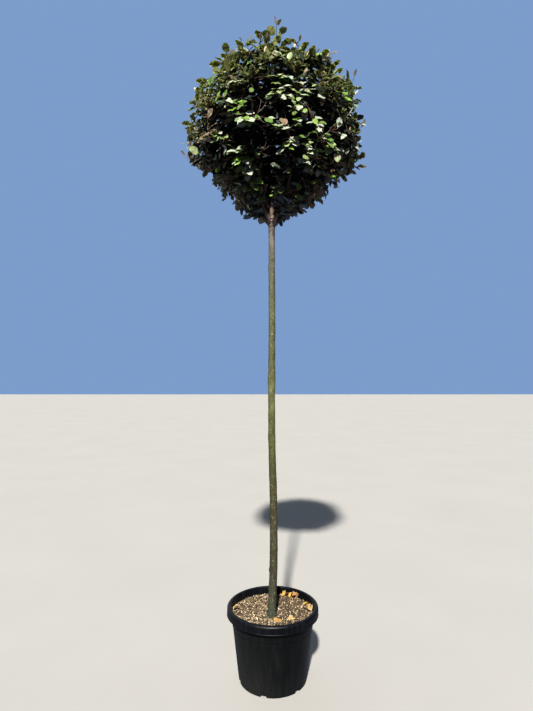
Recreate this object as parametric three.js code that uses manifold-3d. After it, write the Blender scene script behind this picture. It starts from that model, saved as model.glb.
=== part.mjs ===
// Potted standard elaeagnus: a clear stem in a nursery pot, with a dense round head of foliage.
// Millimetres, +Z up. The origin is the centre of the pot's flat underside.
// The head is seven masses, one on each bough. A mass is a stem, a core, forking twigs and leaves.
// It keeps to its own cell of the head, so no two masses touch.
import * as THREE from 'three';
import { mergeVertices } from 'three/addons/utils/BufferGeometryUtils.js';
import Module from 'manifold-3d';

const wasm = await Module();
wasm.setup();

const CLEARANCE = 0.3; // between two pieces, where one rests on the other
const GOLDEN_ANGLE = Math.PI * (3 - Math.sqrt(5));
const UP = new THREE.Vector3(0, 0, 1);
const SIDEWAYS = new THREE.Vector3(1, 0, 0);

// Pot
const POT_HEIGHT = 356;
const POT_BASE_RADIUS = 166;
const POT_SHOULDER_RADIUS = 204; // body just under the rim
const POT_WALL = 4;
const POT_CORNER = 7; // rounding between wall and floor
const POT_SIDES = 36;
const RIM_RADIUS = 225;
const RIM_DEPTH = 40; // the skirt that hangs from the lip
const RIM_WALL = 4;
const RIM_ROUNDING = 8;
const STEP_BELOW_RIM = 53; // from here up the body is a little wider
const STEP_SIZE = 1.5;
const LIP_EASE = 3; // the lip's inner edge
const NOTCH_COUNT = 6; // drain notches round the foot of the pot
const NOTCH_RADII = [13, 18]; // at its head and at its foot
const NOTCH_HEIGHT = 11;
const NOTCH_SIDES = 8;
const NOTCH_START_DEG = -106;

// Potting mix
const SOIL_TOP = 300;
const SOIL_SEAT_RADIUS = 34; // flat spot under the trunk
const SOIL_DIP = 2;
const SOIL_DIP_RADIUS = 90;
const SOIL_EDGE_RISE = 20; // heaped up against the wall

// Trunk
const TRUNK_FOOT_Z = SOIL_TOP + CLEARANCE;
const TRUNK_TOP_Z = 2280;
const TRUNK_TOP_X = -4;
const TRUNK_SIDES = 10;
const TRUNK_RING_GAP = 75;
const TRUNK_TOP_RADIUS = 16.2;
const TRUNK_TAPER = 4.5; // added at the foot
const FLARE = 4.5; // root flare, over the taper
const FLARE_HEIGHT = 20;
const SWELLING = 5; // the knuckle that the head grows from
const SWELLING_Z = 2256;
const SWELLING_HEIGHT = 17;
const BULGE = 1.4; // a slight thickening half way up
const BULGE_Z = 1480;
const BULGE_HEIGHT = 90;
// How the stem wanders off upright: height, sideways, backwards.
const TRUNK_BENDS = [
  [TRUNK_FOOT_Z, -4, 0],
  [590, 5, -2],
  [860, 4, 0],
  [1120, -3, 2],
  [1365, -5, 4],
  [1720, -3, 1],
  [2080, -4, -2],
  [TRUNK_TOP_Z, TRUNK_TOP_X, 0],
];

// Boughs
const SIDE_BOUGHS = 6;
const SIDE_BOUGH_START_DEG = -62;
const BOUGH_SIDES = 7;
const BOUGH_STEPS = 4;
const BOUGH_BASE_RADIUS = 8.6;
const BOUGH_TIP_RADIUS = 7;
const BOUGH_START_Z = 2246;
const BOUGH_TIP_REACH = 128;
const BOUGH_TIP_Z = 2372;
const BOUGH_BEND_REACH = 0.55; // its bend, as shares of its reach and of its rise
const BOUGH_BEND_RISE = 0.42;
const LEADER_BASE_RADIUS = 12;
const LEADER_TIP_RADIUS = 9;
const LEADER_TIP_Z = 2700;
const UNEVENNESS_DEG = 6; // how far a side bough is from its even place in the ring
const UNEVENNESS_Z = 50;

// Head: a dome above its widest level and a shallow funnel below it
const HEAD_CENTRE_X = 10;
const HEAD_RADIUS = 450;
const HEAD_WIDEST_Z = 2573;
const HEAD_TOP_Z = 3123;
const HEAD_BOTTOM_Z = 2292;
const DOME_POWER = 2.9;
const FUNNEL_POWER = 0.74;
const HEAD_CENTRE = new THREE.Vector3(HEAD_CENTRE_X, 0, 2620);

// Masses
const SIDE_CELL_REACH = 250;
const SIDE_CELL_Z = 2600;
const TOP_CELL_Z = 3000;
const CELL_MARGIN = 1; // half the space between two masses
const SIDE_CORE_REACH = 232;
const SIDE_CORE_Z = 2610;
const SIDE_CORE_SIZE = [104, 104, 190];
const TOP_CORE_Z = 2905;
const TOP_CORE_SIZE = [215, 215, 100];
const CORE_ROUGHNESS = [0.86, 1.04];
const LIMB_ROOM = 1; // twigs and leaves keep this far from trunk and boughs
const STEM_TIP_RADIUS = 4.5;
const STEM_STEPS = 3;
const STEM_BEND_AT = 0.4;

// Twigs
const SHOOT_COUNT = 98; // over the whole head
const SHOOT_DEPTHS = [0.865, 0.91]; // where a shoot ends, as a share of the way out to the head's surface
const TWIG_SIDES = 3;
const TWIG_STEPS = 2;
const TWIG_BASE_RADIUS = 3;
const TWIG_TIP_RADIUS = 1.5;
const TWIG_BEND_AT = 0.6;
const TWIG_SAG = 0.05;
const LEAD_ROOTS = [0.7, 1]; // where lead twigs leave the stem
const FORKS = [0.45, 0.6]; // where a branch's second and third twig leave its lead
const FORK_RADIUS_SHARE = 0.8;
const LOOSE_SHOOTS = 9; // young shoots that stand proud of the dome
const LOOSE_EVERY = 3; // one in so many, counted from the top
const LOOSE_RISE = [35, 95];
const LEADER_SHOOT_X = 20;
const LEADER_SHOOT_TIP_Z = 3306;

// Leaves
const LEAVES_PER_TWIG = 6;
const LEAFLESS_SHARE = 0.35; // of a twig's length, from its root
const LAST_LEAF_AT = 0.985;
const LEAF_LENGTH = 120;
const LOOSE_LEAF_LENGTH = 60;
const LEAF_WIDTH_SHARE = 0.6;
const LEAF_THICKNESS_SHARE = 0.03;
const LEAF_DROOP_SHARE = 0.07;
const LEAF_SIZES = [0.85, 1.08];
const LEAF_SPREAD_DEG = [100, 48]; // from the twig, where leaves begin and at its tip
const LEAF_TRIES = 8;
const FACING = { outward: 0.5, upward: 0.6, anywhere: 1.6 }; // what a leaf's face turns to, weighed
const RAGGEDNESS = 0.06; // how far leaves may stand out of the head, as a share of its size

// The same numbers come out on every run.
function seededRandom(seed) {
  let state = seed >>> 0;
  return () => {
    state = (state + 0x6d2b79f5) >>> 0;
    let mixed = state;
    mixed = Math.imul(mixed ^ (mixed >>> 15), mixed | 1);
    mixed ^= mixed + Math.imul(mixed ^ (mixed >>> 7), mixed | 61);
    return ((mixed ^ (mixed >>> 14)) >>> 0) / 4294967296;
  };
}

const lerp = (a, b, share) => a + (b - a) * share;
const within = ([low, high], random) => lerp(low, high, random());
const radians = (degrees) => (degrees * Math.PI) / 180;
const around = (angle, reach, z) => new THREE.Vector3(reach * Math.cos(angle), reach * Math.sin(angle), z);
const hump = (z, middle, halfHeight) => Math.exp(-(((z - middle) / halfHeight) ** 2));

// A direction square to the given one.
function squareTo(direction) {
  const helper = Math.abs(direction.z) > 0.9 ? SIDEWAYS : UP;
  return new THREE.Vector3().crossVectors(direction, helper).normalize();
}

// Solids and meshes

function solidOf(geometry) {
  const bare = geometry.clone();
  bare.deleteAttribute('normal');
  bare.deleteAttribute('uv');
  const merged = mergeVertices(bare, 1e-4);
  return new wasm.Manifold(
    new wasm.Mesh({
      numProp: 3,
      vertProperties: new Float32Array(merged.getAttribute('position').array),
      triVerts: new Uint32Array(merged.index.array),
    }),
  );
}

function geometryOf(solid) {
  const { vertProperties, triVerts } = solid.getMesh();
  const geometry = new THREE.BufferGeometry();
  geometry.setAttribute('position', new THREE.BufferAttribute(vertProperties, 3));
  geometry.setIndex(new THREE.BufferAttribute(triVerts, 1));
  return geometry;
}

// True where a solid still closes once its corners are rounded off to a thousandth: each edge has two faces.
function closesWhenRounded(solid) {
  const { vertProperties, triVerts } = solid.getMesh();
  const corner = (v) => [0, 1, 2].map((k) => vertProperties[3 * v + k].toFixed(3)).join();
  const faces = new Map();
  for (let i = 0; i < triVerts.length; i += 3) {
    const corners = Array.from(triVerts.subarray(i, i + 3), corner);
    if (new Set(corners).size < 3) continue;
    for (const [k, start] of corners.entries()) {
      const edge = [start, corners[(k + 1) % 3]].sort().join();
      faces.set(edge, (faces.get(edge) ?? 0) + 1);
    }
  }
  return [...faces.values()].every((count) => count === 2);
}

function meshOf(name, solid, material) {
  const geometry = geometryOf(solid);
  geometry.computeVertexNormals();
  const mesh = new THREE.Mesh(geometry, material);
  mesh.name = name;
  return mesh;
}

function latheSolid(profile, sides) {
  const points = profile.map(([radius, z]) => new THREE.Vector2(radius, z));
  return solidOf(new THREE.LatheGeometry(points, sides).rotateX(Math.PI / 2));
}

// A tapering limb along a curve: a capped cylinder whose rings are carried onto the curve.
function limbSolid(curve, startRadius, endRadius, sides, steps) {
  const geometry = new THREE.CylinderGeometry(1, 1, 1, sides, steps);
  const position = geometry.getAttribute('position');
  const rings = [];
  let across = squareTo(curve.getTangent(0));
  for (let i = 0; i <= steps; i++) {
    const tangent = curve.getTangent(i / steps);
    across = across.clone().addScaledVector(tangent, -across.dot(tangent)).normalize();
    const second = new THREE.Vector3().crossVectors(across, tangent);
    rings.push({ middle: curve.getPoint(i / steps), first: across, second });
  }
  for (let i = 0; i < position.count; i++) {
    const share = position.getY(i) + 0.5;
    const { middle, first, second } = rings[Math.round(share * steps)];
    const radius = lerp(startRadius, endRadius, share);
    const point = middle
      .clone()
      .addScaledVector(first, position.getX(i) * radius)
      .addScaledVector(second, position.getZ(i) * radius);
    position.setXYZ(i, point.x, point.y, point.z);
  }
  return solidOf(geometry);
}

// Pot

const bodyRadiusAt = (z) => {
  const step = z > POT_HEIGHT - RIM_DEPTH - STEP_BELOW_RIM ? STEP_SIZE : 0;
  return lerp(POT_BASE_RADIUS, POT_SHOULDER_RADIUS - STEP_SIZE, z / (POT_HEIGHT - RIM_DEPTH)) + step;
};
const POT_INNER_LIP = bodyRadiusAt(POT_HEIGHT) - POT_WALL;

// Points of an arc from one angle to another, in degrees.
function arcPoints(centreRadius, centreZ, rounding, from, to, count) {
  return Array.from({ length: count + 1 }, (_, i) => {
    const angle = radians(lerp(from, to, i / count));
    return [centreRadius + rounding * Math.cos(angle), centreZ + rounding * Math.sin(angle)];
  });
}

function potSolid() {
  const skirtFoot = POT_HEIGHT - RIM_DEPTH;
  const step = skirtFoot - STEP_BELOW_RIM;
  const underLip = POT_HEIGHT - RIM_ROUNDING;
  const profile = [
    [0, 0],
    ...arcPoints(POT_BASE_RADIUS - POT_CORNER, POT_CORNER, POT_CORNER, -90, 0, 2),
    [bodyRadiusAt(step - 1), step - 1],
    [bodyRadiusAt(step + 1), step + 1],
    [bodyRadiusAt(underLip), underLip],
    [RIM_RADIUS - RIM_WALL, underLip],
    [RIM_RADIUS - RIM_WALL, skirtFoot],
    [RIM_RADIUS - 1, skirtFoot - 1],
    ...arcPoints(RIM_RADIUS - RIM_ROUNDING, underLip, RIM_ROUNDING, 0, 90, 3),
    [POT_INNER_LIP + LIP_EASE, POT_HEIGHT],
    [POT_INNER_LIP, POT_HEIGHT - LIP_EASE],
    [POT_BASE_RADIUS - POT_WALL, POT_WALL],
    [0, POT_WALL],
  ];
  let pot = latheSolid(profile, POT_SIDES);
  for (let i = 0; i < NOTCH_COUNT; i++) {
    const notch = new THREE.CylinderGeometry(...NOTCH_RADII, NOTCH_HEIGHT * 2, NOTCH_SIDES);
    notch.rotateX(Math.PI / 2).translate(POT_BASE_RADIUS, 0, 0);
    notch.rotateZ(radians(NOTCH_START_DEG + (360 / NOTCH_COUNT) * i));
    pot = pot.subtract(solidOf(notch));
  }
  return pot;
}

// Potting mix: fills the pot up to a slightly dished top, with a flat seat in the middle.
function soilSolid() {
  const floor = POT_WALL + CLEARANCE;
  const edge = SOIL_TOP + SOIL_EDGE_RISE;
  const innerAt = (z) =>
    lerp(POT_BASE_RADIUS - POT_WALL, POT_INNER_LIP, (z - POT_WALL) / (POT_HEIGHT - LIP_EASE - POT_WALL));
  return latheSolid(
    [
      [0, floor],
      [innerAt(floor) - 3 * CLEARANCE, floor],
      [innerAt(edge) - 3 * CLEARANCE, edge],
      [SOIL_DIP_RADIUS, SOIL_TOP - SOIL_DIP],
      [SOIL_SEAT_RADIUS, SOIL_TOP],
      [0, SOIL_TOP],
    ],
    POT_SIDES,
  );
}

// Trunk

const trunkLine = new THREE.CatmullRomCurve3(TRUNK_BENDS.map(([z, x, y]) => new THREE.Vector3(x, y, z)));

// The stem's middle at a height, found by halving along its line.
function trunkMiddle(z) {
  let low = 0;
  let high = 1;
  while (high - low > 1e-6) {
    const share = (low + high) / 2;
    if (trunkLine.getPoint(share).z < z) low = share;
    else high = share;
  }
  return trunkLine.getPoint((low + high) / 2);
}

function trunkRadius(z) {
  const rise = (z - TRUNK_FOOT_Z) / (TRUNK_TOP_Z - TRUNK_FOOT_Z);
  return TRUNK_TOP_RADIUS
    + TRUNK_TAPER * (1 - rise) ** 2
    + FLARE * Math.exp(-(z - TRUNK_FOOT_Z) / FLARE_HEIGHT)
    + SWELLING * hump(z, SWELLING_Z, SWELLING_HEIGHT)
    + BULGE * hump(z, BULGE_Z, BULGE_HEIGHT);
}

// Ring heights: close together over the root flare and the swelling, and even between them.
function trunkRings() {
  const low = [0, 0.5, 1.3, 3].map((step) => TRUNK_FOOT_Z + step * FLARE_HEIGHT);
  const high = [-2.4, -1.2, -0.5, 0, 0.5, 1.1].map((step) => SWELLING_Z + step * SWELLING_HEIGHT);
  const count = Math.ceil((high[0] - low.at(-1)) / TRUNK_RING_GAP);
  const even = Array.from({ length: count - 1 }, (_, i) => lerp(low.at(-1), high[0], (i + 1) / count));
  return [...low, ...even, ...high, TRUNK_TOP_Z];
}

function trunkSolid(grow = 0) {
  const rings = trunkRings();
  const last = rings.length - 1;
  const geometry = new THREE.CylinderGeometry(1, 1, 1, TRUNK_SIDES, last).rotateX(Math.PI / 2);
  const position = geometry.getAttribute('position');
  for (let i = 0; i < position.count; i++) {
    const ring = Math.round((position.getZ(i) + 0.5) * last);
    const z = rings[ring];
    const { x, y } = trunkMiddle(z);
    const radius = trunkRadius(z) + grow;
    const end = ring === last ? grow : 0;
    position.setXYZ(i, x + position.getX(i) * radius, y + position.getY(i) * radius, z + end);
  }
  return solidOf(geometry);
}

// Boughs: a leader straight up, and a ring of side boughs that rise out of the swelling.
// With each goes the place of its mass: the middle of its cell, and its core.

const headAxis = (z) => new THREE.Vector3(HEAD_CENTRE_X, 0, z);

function leaderPlan() {
  const foot = new THREE.Vector3(TRUNK_TOP_X, 0, TRUNK_TOP_Z + CLEARANCE);
  const tip = headAxis(LEADER_TIP_Z);
  const bend = new THREE.Vector3(TRUNK_TOP_X, 0, (foot.z + tip.z) / 2);
  return {
    name: 'leader',
    curve: new THREE.QuadraticBezierCurve3(foot, bend, tip),
    radii: [LEADER_BASE_RADIUS, LEADER_TIP_RADIUS],
    cell: headAxis(TOP_CELL_Z),
    core: headAxis(TOP_CORE_Z),
    coreSize: TOP_CORE_SIZE,
  };
}

function sidePlan(i, random) {
  const angle = radians((360 / SIDE_BOUGHS) * i + SIDE_BOUGH_START_DEG + UNEVENNESS_DEG * (random() - 0.5));
  const lift = UNEVENNESS_Z * (random() - 0.5);
  return {
    name: `${i + 1}`,
    curve: new THREE.QuadraticBezierCurve3(
      new THREE.Vector3(TRUNK_TOP_X, 0, BOUGH_START_Z),
      around(angle, BOUGH_TIP_REACH * BOUGH_BEND_REACH, lerp(BOUGH_START_Z, BOUGH_TIP_Z, BOUGH_BEND_RISE)),
      around(angle, BOUGH_TIP_REACH, BOUGH_TIP_Z),
    ),
    radii: [BOUGH_BASE_RADIUS, BOUGH_TIP_RADIUS],
    cell: headAxis(0).add(around(angle, SIDE_CELL_REACH, SIDE_CELL_Z + lift)),
    core: headAxis(0).add(around(angle, SIDE_CORE_REACH, SIDE_CORE_Z + lift)),
    coreSize: SIDE_CORE_SIZE,
  };
}

const boughSolid = ({ curve, radii }, grow = 0) =>
  limbSolid(curve, radii[0] + grow, radii[1] + grow, BOUGH_SIDES, BOUGH_STEPS);

// Head

// The head's outer radius at a height, or 0 above and below it.
function headRadiusAt(z) {
  const share = z > HEAD_WIDEST_Z
    ? ((z - HEAD_WIDEST_Z) / (HEAD_TOP_Z - HEAD_WIDEST_Z)) ** DOME_POWER
    : ((HEAD_WIDEST_Z - z) / (HEAD_WIDEST_Z - HEAD_BOTTOM_Z)) ** FUNNEL_POWER;
  return share < 1 ? HEAD_RADIUS * Math.sqrt(1 - share) : 0;
}

const insideHead = (p) => Math.hypot(p.x - HEAD_CENTRE_X, p.y) < headRadiusAt(p.z);
const aboutInsideHead = (p) => insideHead(p.clone().lerp(HEAD_CENTRE, RAGGEDNESS));

// How far the head reaches from its centre in a direction, found by halving.
function headReach(direction) {
  let low = 0;
  let high = 2 * HEAD_RADIUS;
  while (high - low > 0.1) {
    const reach = (low + high) / 2;
    if (insideHead(HEAD_CENTRE.clone().addScaledVector(direction, reach))) low = reach;
    else high = reach;
  }
  return low;
}

// True where a point is on its own side of every plane half way to another mass.
const insideCell = (p, own, plans) =>
  plans.every((other) => {
    if (other === own) return true;
    const apart = own.cell.clone().sub(other.cell);
    const middle = own.cell.clone().add(other.cell).multiplyScalar(0.5);
    return p.clone().sub(middle).dot(apart) / apart.length() > CELL_MARGIN;
  });

// Shoot tips spread evenly over the head by the golden angle, and some loose ones that rise out of its top.
function planShoots(random) {
  const shoots = Array.from({ length: SHOOT_COUNT }, (_, i) => {
    const z = 1 - (2 * (i + 0.5)) / SHOOT_COUNT;
    const direction = around(i * GOLDEN_ANGLE, Math.sqrt(1 - z * z), z);
    const reach = headReach(direction) * within(SHOOT_DEPTHS, random);
    const loose = i % LOOSE_EVERY === 0 && i < LOOSE_EVERY * LOOSE_SHOOTS;
    return {
      tip: HEAD_CENTRE.clone().addScaledVector(direction, reach),
      rise: loose ? within(LOOSE_RISE, random) : 0,
    };
  });
  const top = shoots[0].tip;
  top.setX(LEADER_SHOOT_X);
  shoots[0].rise = LEADER_SHOOT_TIP_Z - top.z;
  return shoots;
}

// Twigs of one mass: each branch is a lead twig from the stem's end, and two twigs that fork off it.
function twigsOf(shoots, stem, insideCore, clear, random) {
  const grow = ({ tip, rise }, root, radius) => {
    const end = tip.clone().addScaledVector(UP, rise);
    const bend = root.clone().lerp(tip, TWIG_BEND_AT).addScaledVector(UP, -TWIG_SAG * root.distanceTo(end));
    const curve = new THREE.QuadraticBezierCurve3(root, bend, end);
    const solid = limbSolid(curve, radius, TWIG_TIP_RADIUS, TWIG_SIDES, TWIG_STEPS);
    const points = curve.getSpacedPoints(20);
    const leavesFrom = Math.max(LEAFLESS_SHARE, points.filter(insideCore).length / points.length);
    return clear(points, solid) ? { curve, solid, rise, leavesFrom } : null;
  };
  const twigs = [];
  const waiting = [...shoots];
  while (waiting.length) {
    const shoot = waiting.shift();
    const lead = grow(shoot, stem.getPoint(within(LEAD_ROOTS, random)), TWIG_BASE_RADIUS);
    if (!lead) continue;
    waiting.sort((a, b) => a.tip.distanceTo(shoot.tip) - b.tip.distanceTo(shoot.tip));
    const forks = waiting
      .splice(0, FORKS.length)
      .map((fork, k) => grow(fork, twigMiddle(lead.curve, FORKS[k]), FORK_RADIUS_SHARE * TWIG_BASE_RADIUS));
    twigs.push(lead, ...forks.filter(Boolean));
  }
  return twigs;
}

// The middle of a faceted twig: straight between its rings.
function twigMiddle(curve, share) {
  const ring = Math.min(Math.floor(share * TWIG_STEPS), TWIG_STEPS - 1);
  const start = curve.getPoint(ring / TWIG_STEPS);
  return start.lerp(curve.getPoint((ring + 1) / TWIG_STEPS), share * TWIG_STEPS - ring);
}

// A leaf as eight faces: a blunt five-sided outline with a flat back and a raised midrib, its tip bent down.
function leafSolid(base, along, facing, length) {
  const forward = along.clone().normalize();
  const across = new THREE.Vector3().crossVectors(forward, facing).normalize();
  const normal = new THREE.Vector3().crossVectors(across, forward);
  const outline = [
    [0, 0, 0],
    [0.5, 0.48, 0],
    [0.17, 1, -LEAF_DROOP_SHARE],
    [-0.17, 1, -LEAF_DROOP_SHARE],
    [-0.5, 0.48, 0],
    [0, 0.5, LEAF_THICKNESS_SHARE],
  ];
  const front = [5, 0, 1, 5, 1, 2, 5, 2, 3, 5, 3, 4, 5, 4, 0];
  const back = [1, 0, 4, 1, 4, 3, 1, 3, 2];
  const points = outline.map(([x, y, z]) =>
    base
      .clone()
      .addScaledVector(across, x * length * LEAF_WIDTH_SHARE)
      .addScaledVector(forward, y * length)
      .addScaledVector(normal, z * length));
  const geometry = new THREE.BufferGeometry().setFromPoints(points).setIndex([...front, ...back]);
  return { points, solid: solidOf(geometry) };
}

// Leaves spiral round the outer part of a twig, spread from it and turn their faces up and outwards.
// A leaf that would touch something is rolled on round the twig, and left out after a few tries.
function addLeaves({ curve, rise, leavesFrom }, fits, leaves, random) {
  const phase = random() * 2 * Math.PI;
  for (let k = 0; k < LEAVES_PER_TWIG; k++) {
    const share = lerp(leavesFrom, LAST_LEAF_AT, k / (LEAVES_PER_TWIG - 1));
    const base = twigMiddle(curve, share);
    const tangent = curve.getTangent(share);
    const first = squareTo(tangent);
    const second = new THREE.Vector3().crossVectors(tangent, first);
    const spread = radians(lerp(...LEAF_SPREAD_DEG, share));
    const outward = base.clone().sub(HEAD_CENTRE).normalize();
    const size = (rise ? LOOSE_LEAF_LENGTH : LEAF_LENGTH) * within(LEAF_SIZES, random);
    for (let attempt = 0; attempt < LEAF_TRIES; attempt++) {
      const roll = phase + (k + attempt) * GOLDEN_ANGLE;
      const along = tangent
        .clone()
        .multiplyScalar(Math.cos(spread))
        .addScaledVector(first, Math.cos(roll) * Math.sin(spread))
        .addScaledVector(second, Math.sin(roll) * Math.sin(spread));
      const facing = new THREE.Vector3(random() - 0.5, random() - 0.5, random() - 0.5)
        .multiplyScalar(FACING.anywhere)
        .addScaledVector(outward, FACING.outward)
        .addScaledVector(UP, FACING.upward);
      const leaf = leafSolid(base, along, facing, size);
      if (fits(leaf)) {
        leaves.push(leaf);
        break;
      }
    }
  }
}

function coreSolid({ core, coreSize }, random) {
  const geometry = new THREE.IcosahedronGeometry(1, 1);
  geometry.deleteAttribute('normal');
  geometry.deleteAttribute('uv');
  const rough = mergeVertices(geometry, 1e-4);
  const position = rough.getAttribute('position');
  const size = new THREE.Vector3(...coreSize);
  for (let i = 0; i < position.count; i++) {
    const point = new THREE.Vector3()
      .fromBufferAttribute(position, i)
      .multiply(size)
      .multiplyScalar(within(CORE_ROUGHNESS, random))
      .add(core);
    position.setXYZ(i, point.x, point.y, point.z);
  }
  return solidOf(rough);
}

const largestPiece = (solid) => solid.decompose().sort((a, b) => b.volume() - a.volume())[0];

// One mass: a stem off the bough's tip, the core on it, and twigs with leaves that stand out of the core.
function massSolid(plan, plans, shoots, limbs, random) {
  const heading = plan.curve.getTangent(1);
  const start = plan.curve.getPoint(1).addScaledVector(heading, CLEARANCE);
  const elbow = start.clone().addScaledVector(heading, STEM_BEND_AT * start.distanceTo(plan.core));
  const stem = new THREE.QuadraticBezierCurve3(start, elbow, plan.core);
  const core = coreSolid(plan, random);
  let mass = limbSolid(stem, plan.radii[1], STEM_TIP_RADIUS, BOUGH_SIDES, STEM_STEPS).add(core);
  const inOwnSpace = (points) => points.every((p) => insideCell(p, plan, plans));
  const coreSize = new THREE.Vector3(...plan.coreSize);
  const insideCore = (p) => p.clone().sub(plan.core).divide(coreSize).length() < 1;
  const clear = (points, solid) => inOwnSpace(points) && solid.intersect(limbs).isEmpty();
  const twigs = twigsOf(shoots, stem, insideCore, clear, random);
  const leaves = [];
  for (const twig of twigs) {
    const others = [...twigs.filter((other) => other !== twig), { solid: limbs }];
    const fits = ({ points, solid }) =>
      inOwnSpace(points)
      && (twig.rise > 0 || points.every(aboutInsideHead))
      && [...others, ...leaves].every((other) => solid.intersect(other.solid).isEmpty());
    addLeaves(twig, fits, leaves, random);
  }
  for (const { solid } of [...twigs, ...leaves]) {
    const joined = largestPiece(mass.add(solid));
    if (closesWhenRounded(joined)) mass = joined;
  }
  return mass;
}

// Materials
const paint = (color, roughness) => new THREE.MeshStandardMaterial({ color, roughness, metalness: 0 });
const potPlastic = paint(0x17181a, 0.5);
const pottingMix = paint(0x8a7458, 0.95);
const bark = paint(0x6b6746, 0.85);
const foliage = paint(0x3d4a26, 0.55);

// Assembly
const random = seededRandom(11);
const plant = new THREE.Group();
plant.name = 'potted_standard_elaeagnus';
plant.add(meshOf('pot', potSolid(), potPlastic));
plant.add(meshOf('potting_mix', soilSolid(), pottingMix));
plant.add(meshOf('trunk', trunkSolid(), bark));

const plans = [leaderPlan(), ...Array.from({ length: SIDE_BOUGHS }, (_, i) => sidePlan(i, random))];
const trunkWithGap = trunkSolid(CLEARANCE);
let limbs = trunkSolid(LIMB_ROOM);
for (const plan of plans) {
  plant.add(meshOf(`bough_${plan.name}`, boughSolid(plan).subtract(trunkWithGap), bark));
  limbs = limbs.add(boughSolid(plan, LIMB_ROOM));
}

const shoots = planShoots(random);
for (const plan of plans) {
  const own = shoots.filter(({ tip }) => insideCell(tip, plan, plans));
  const mass = massSolid(plan, plans, own, limbs, random);
  plant.add(meshOf(`foliage_${plan.name}`, mass, foliage));
}

export default plant;
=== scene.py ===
# %% [markdown]
# Potted standard elaeagnus
#
# A standard is a shrub grown on one clear stem, with all its branches in a round head on top. This one is an
# evergreen elaeagnus in a black nursery pot: small leathery leaves, dark above and brownish silver below.
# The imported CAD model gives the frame: sizes, places and the seven masses that the head is made of.
# Blender gives the looks, so each CAD node gets a finer surface in its own place, with the same sizes.
# All lengths are metres, +Z is up, and the viewer of the front stands at -Y.

import math

import bpy
import numpy as np
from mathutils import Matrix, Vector


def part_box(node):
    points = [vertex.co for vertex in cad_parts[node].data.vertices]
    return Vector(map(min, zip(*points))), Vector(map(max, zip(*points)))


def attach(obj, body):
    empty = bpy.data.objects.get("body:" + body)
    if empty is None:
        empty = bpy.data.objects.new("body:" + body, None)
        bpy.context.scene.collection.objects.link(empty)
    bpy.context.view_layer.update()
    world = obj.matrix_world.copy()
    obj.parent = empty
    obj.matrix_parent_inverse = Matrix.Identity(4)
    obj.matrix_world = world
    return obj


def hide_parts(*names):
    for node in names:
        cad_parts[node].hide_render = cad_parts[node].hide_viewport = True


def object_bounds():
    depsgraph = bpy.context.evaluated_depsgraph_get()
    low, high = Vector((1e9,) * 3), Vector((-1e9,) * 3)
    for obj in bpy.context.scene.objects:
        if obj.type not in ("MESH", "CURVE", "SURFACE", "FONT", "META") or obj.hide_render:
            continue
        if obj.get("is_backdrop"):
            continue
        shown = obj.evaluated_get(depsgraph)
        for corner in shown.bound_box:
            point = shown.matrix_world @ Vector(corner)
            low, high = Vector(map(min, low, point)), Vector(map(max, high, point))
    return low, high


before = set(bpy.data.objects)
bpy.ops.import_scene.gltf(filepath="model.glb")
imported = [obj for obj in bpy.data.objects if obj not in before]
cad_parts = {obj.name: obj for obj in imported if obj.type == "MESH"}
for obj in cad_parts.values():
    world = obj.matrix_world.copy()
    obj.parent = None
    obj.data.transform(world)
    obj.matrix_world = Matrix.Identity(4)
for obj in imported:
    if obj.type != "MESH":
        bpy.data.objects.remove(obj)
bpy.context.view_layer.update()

# %% [markdown]
# Working with whole arrays
#
# Every surface here is worked out with numpy, as one formula over a whole grid of points, and the arrays then
# go into a mesh in one step. That is fast enough for nine thousand leaves, and the shape stays readable as a
# formula. The unevenness of bark, soil and plastic comes from one function: many cosine waves that run in
# different directions, added up. It is smooth, has no seams and is the same on every run.

# %% Array helpers
UP = np.array([0.0, 0.0, 1.0])


def lerp(a, b, share):
    """Straight blend from a to b."""
    return a + (b - a) * share


def unit(vectors):
    """Each vector at length 1."""
    return vectors / np.maximum(np.linalg.norm(vectors, axis=-1, keepdims=True), 1e-12)


def dot(a, b):
    """Dot products along the last axis, kept as a column."""
    return (a * b).sum(-1, keepdims=True)


def ease(values, low, high):
    """0 below low, 1 above high and a smooth 3x^2 - 2x^3 between them."""
    x = np.clip((values - low) / (high - low), 0, 1)
    return x * x * (3 - 2 * x)


def hump(values, middle, half_width):
    """A bell curve: exp(-((v - middle) / half_width)^2)."""
    return np.exp(-(((values - middle) / half_width) ** 2))


def ripples(points, wavelength, seed, count=24):
    """Smooth unevenness, mostly from -1 to 1: a sum of cosine waves of about one length, each its own way."""
    dice = np.random.default_rng(seed)
    ways = unit(dice.normal(size=(count, points.shape[-1])))
    ways *= dice.uniform(0.7, 1.5, (count, 1)) * 2 * math.pi / wavelength
    phases = dice.uniform(0, 2 * math.pi, count)
    return np.cos(points @ ways.T + phases).sum(-1) / math.sqrt(2 * count)


sample = ripples(np.linspace([0.0, 0.0], [1.0, 2.0], 4000), 0.1, seed=1)
print("ripples from", round(float(sample.min()), 2), "to", round(float(sample.max()), 2))

# %% [markdown]
# Pieces
#
# A mesh is a list of points and a list of faces that name their corners. Blender takes both from Python
# lists, but whole arrays go in much faster. Each piece then says which body carries it and which CAD node it
# stands for.

# %% From arrays to a mesh piece
made = []


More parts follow.
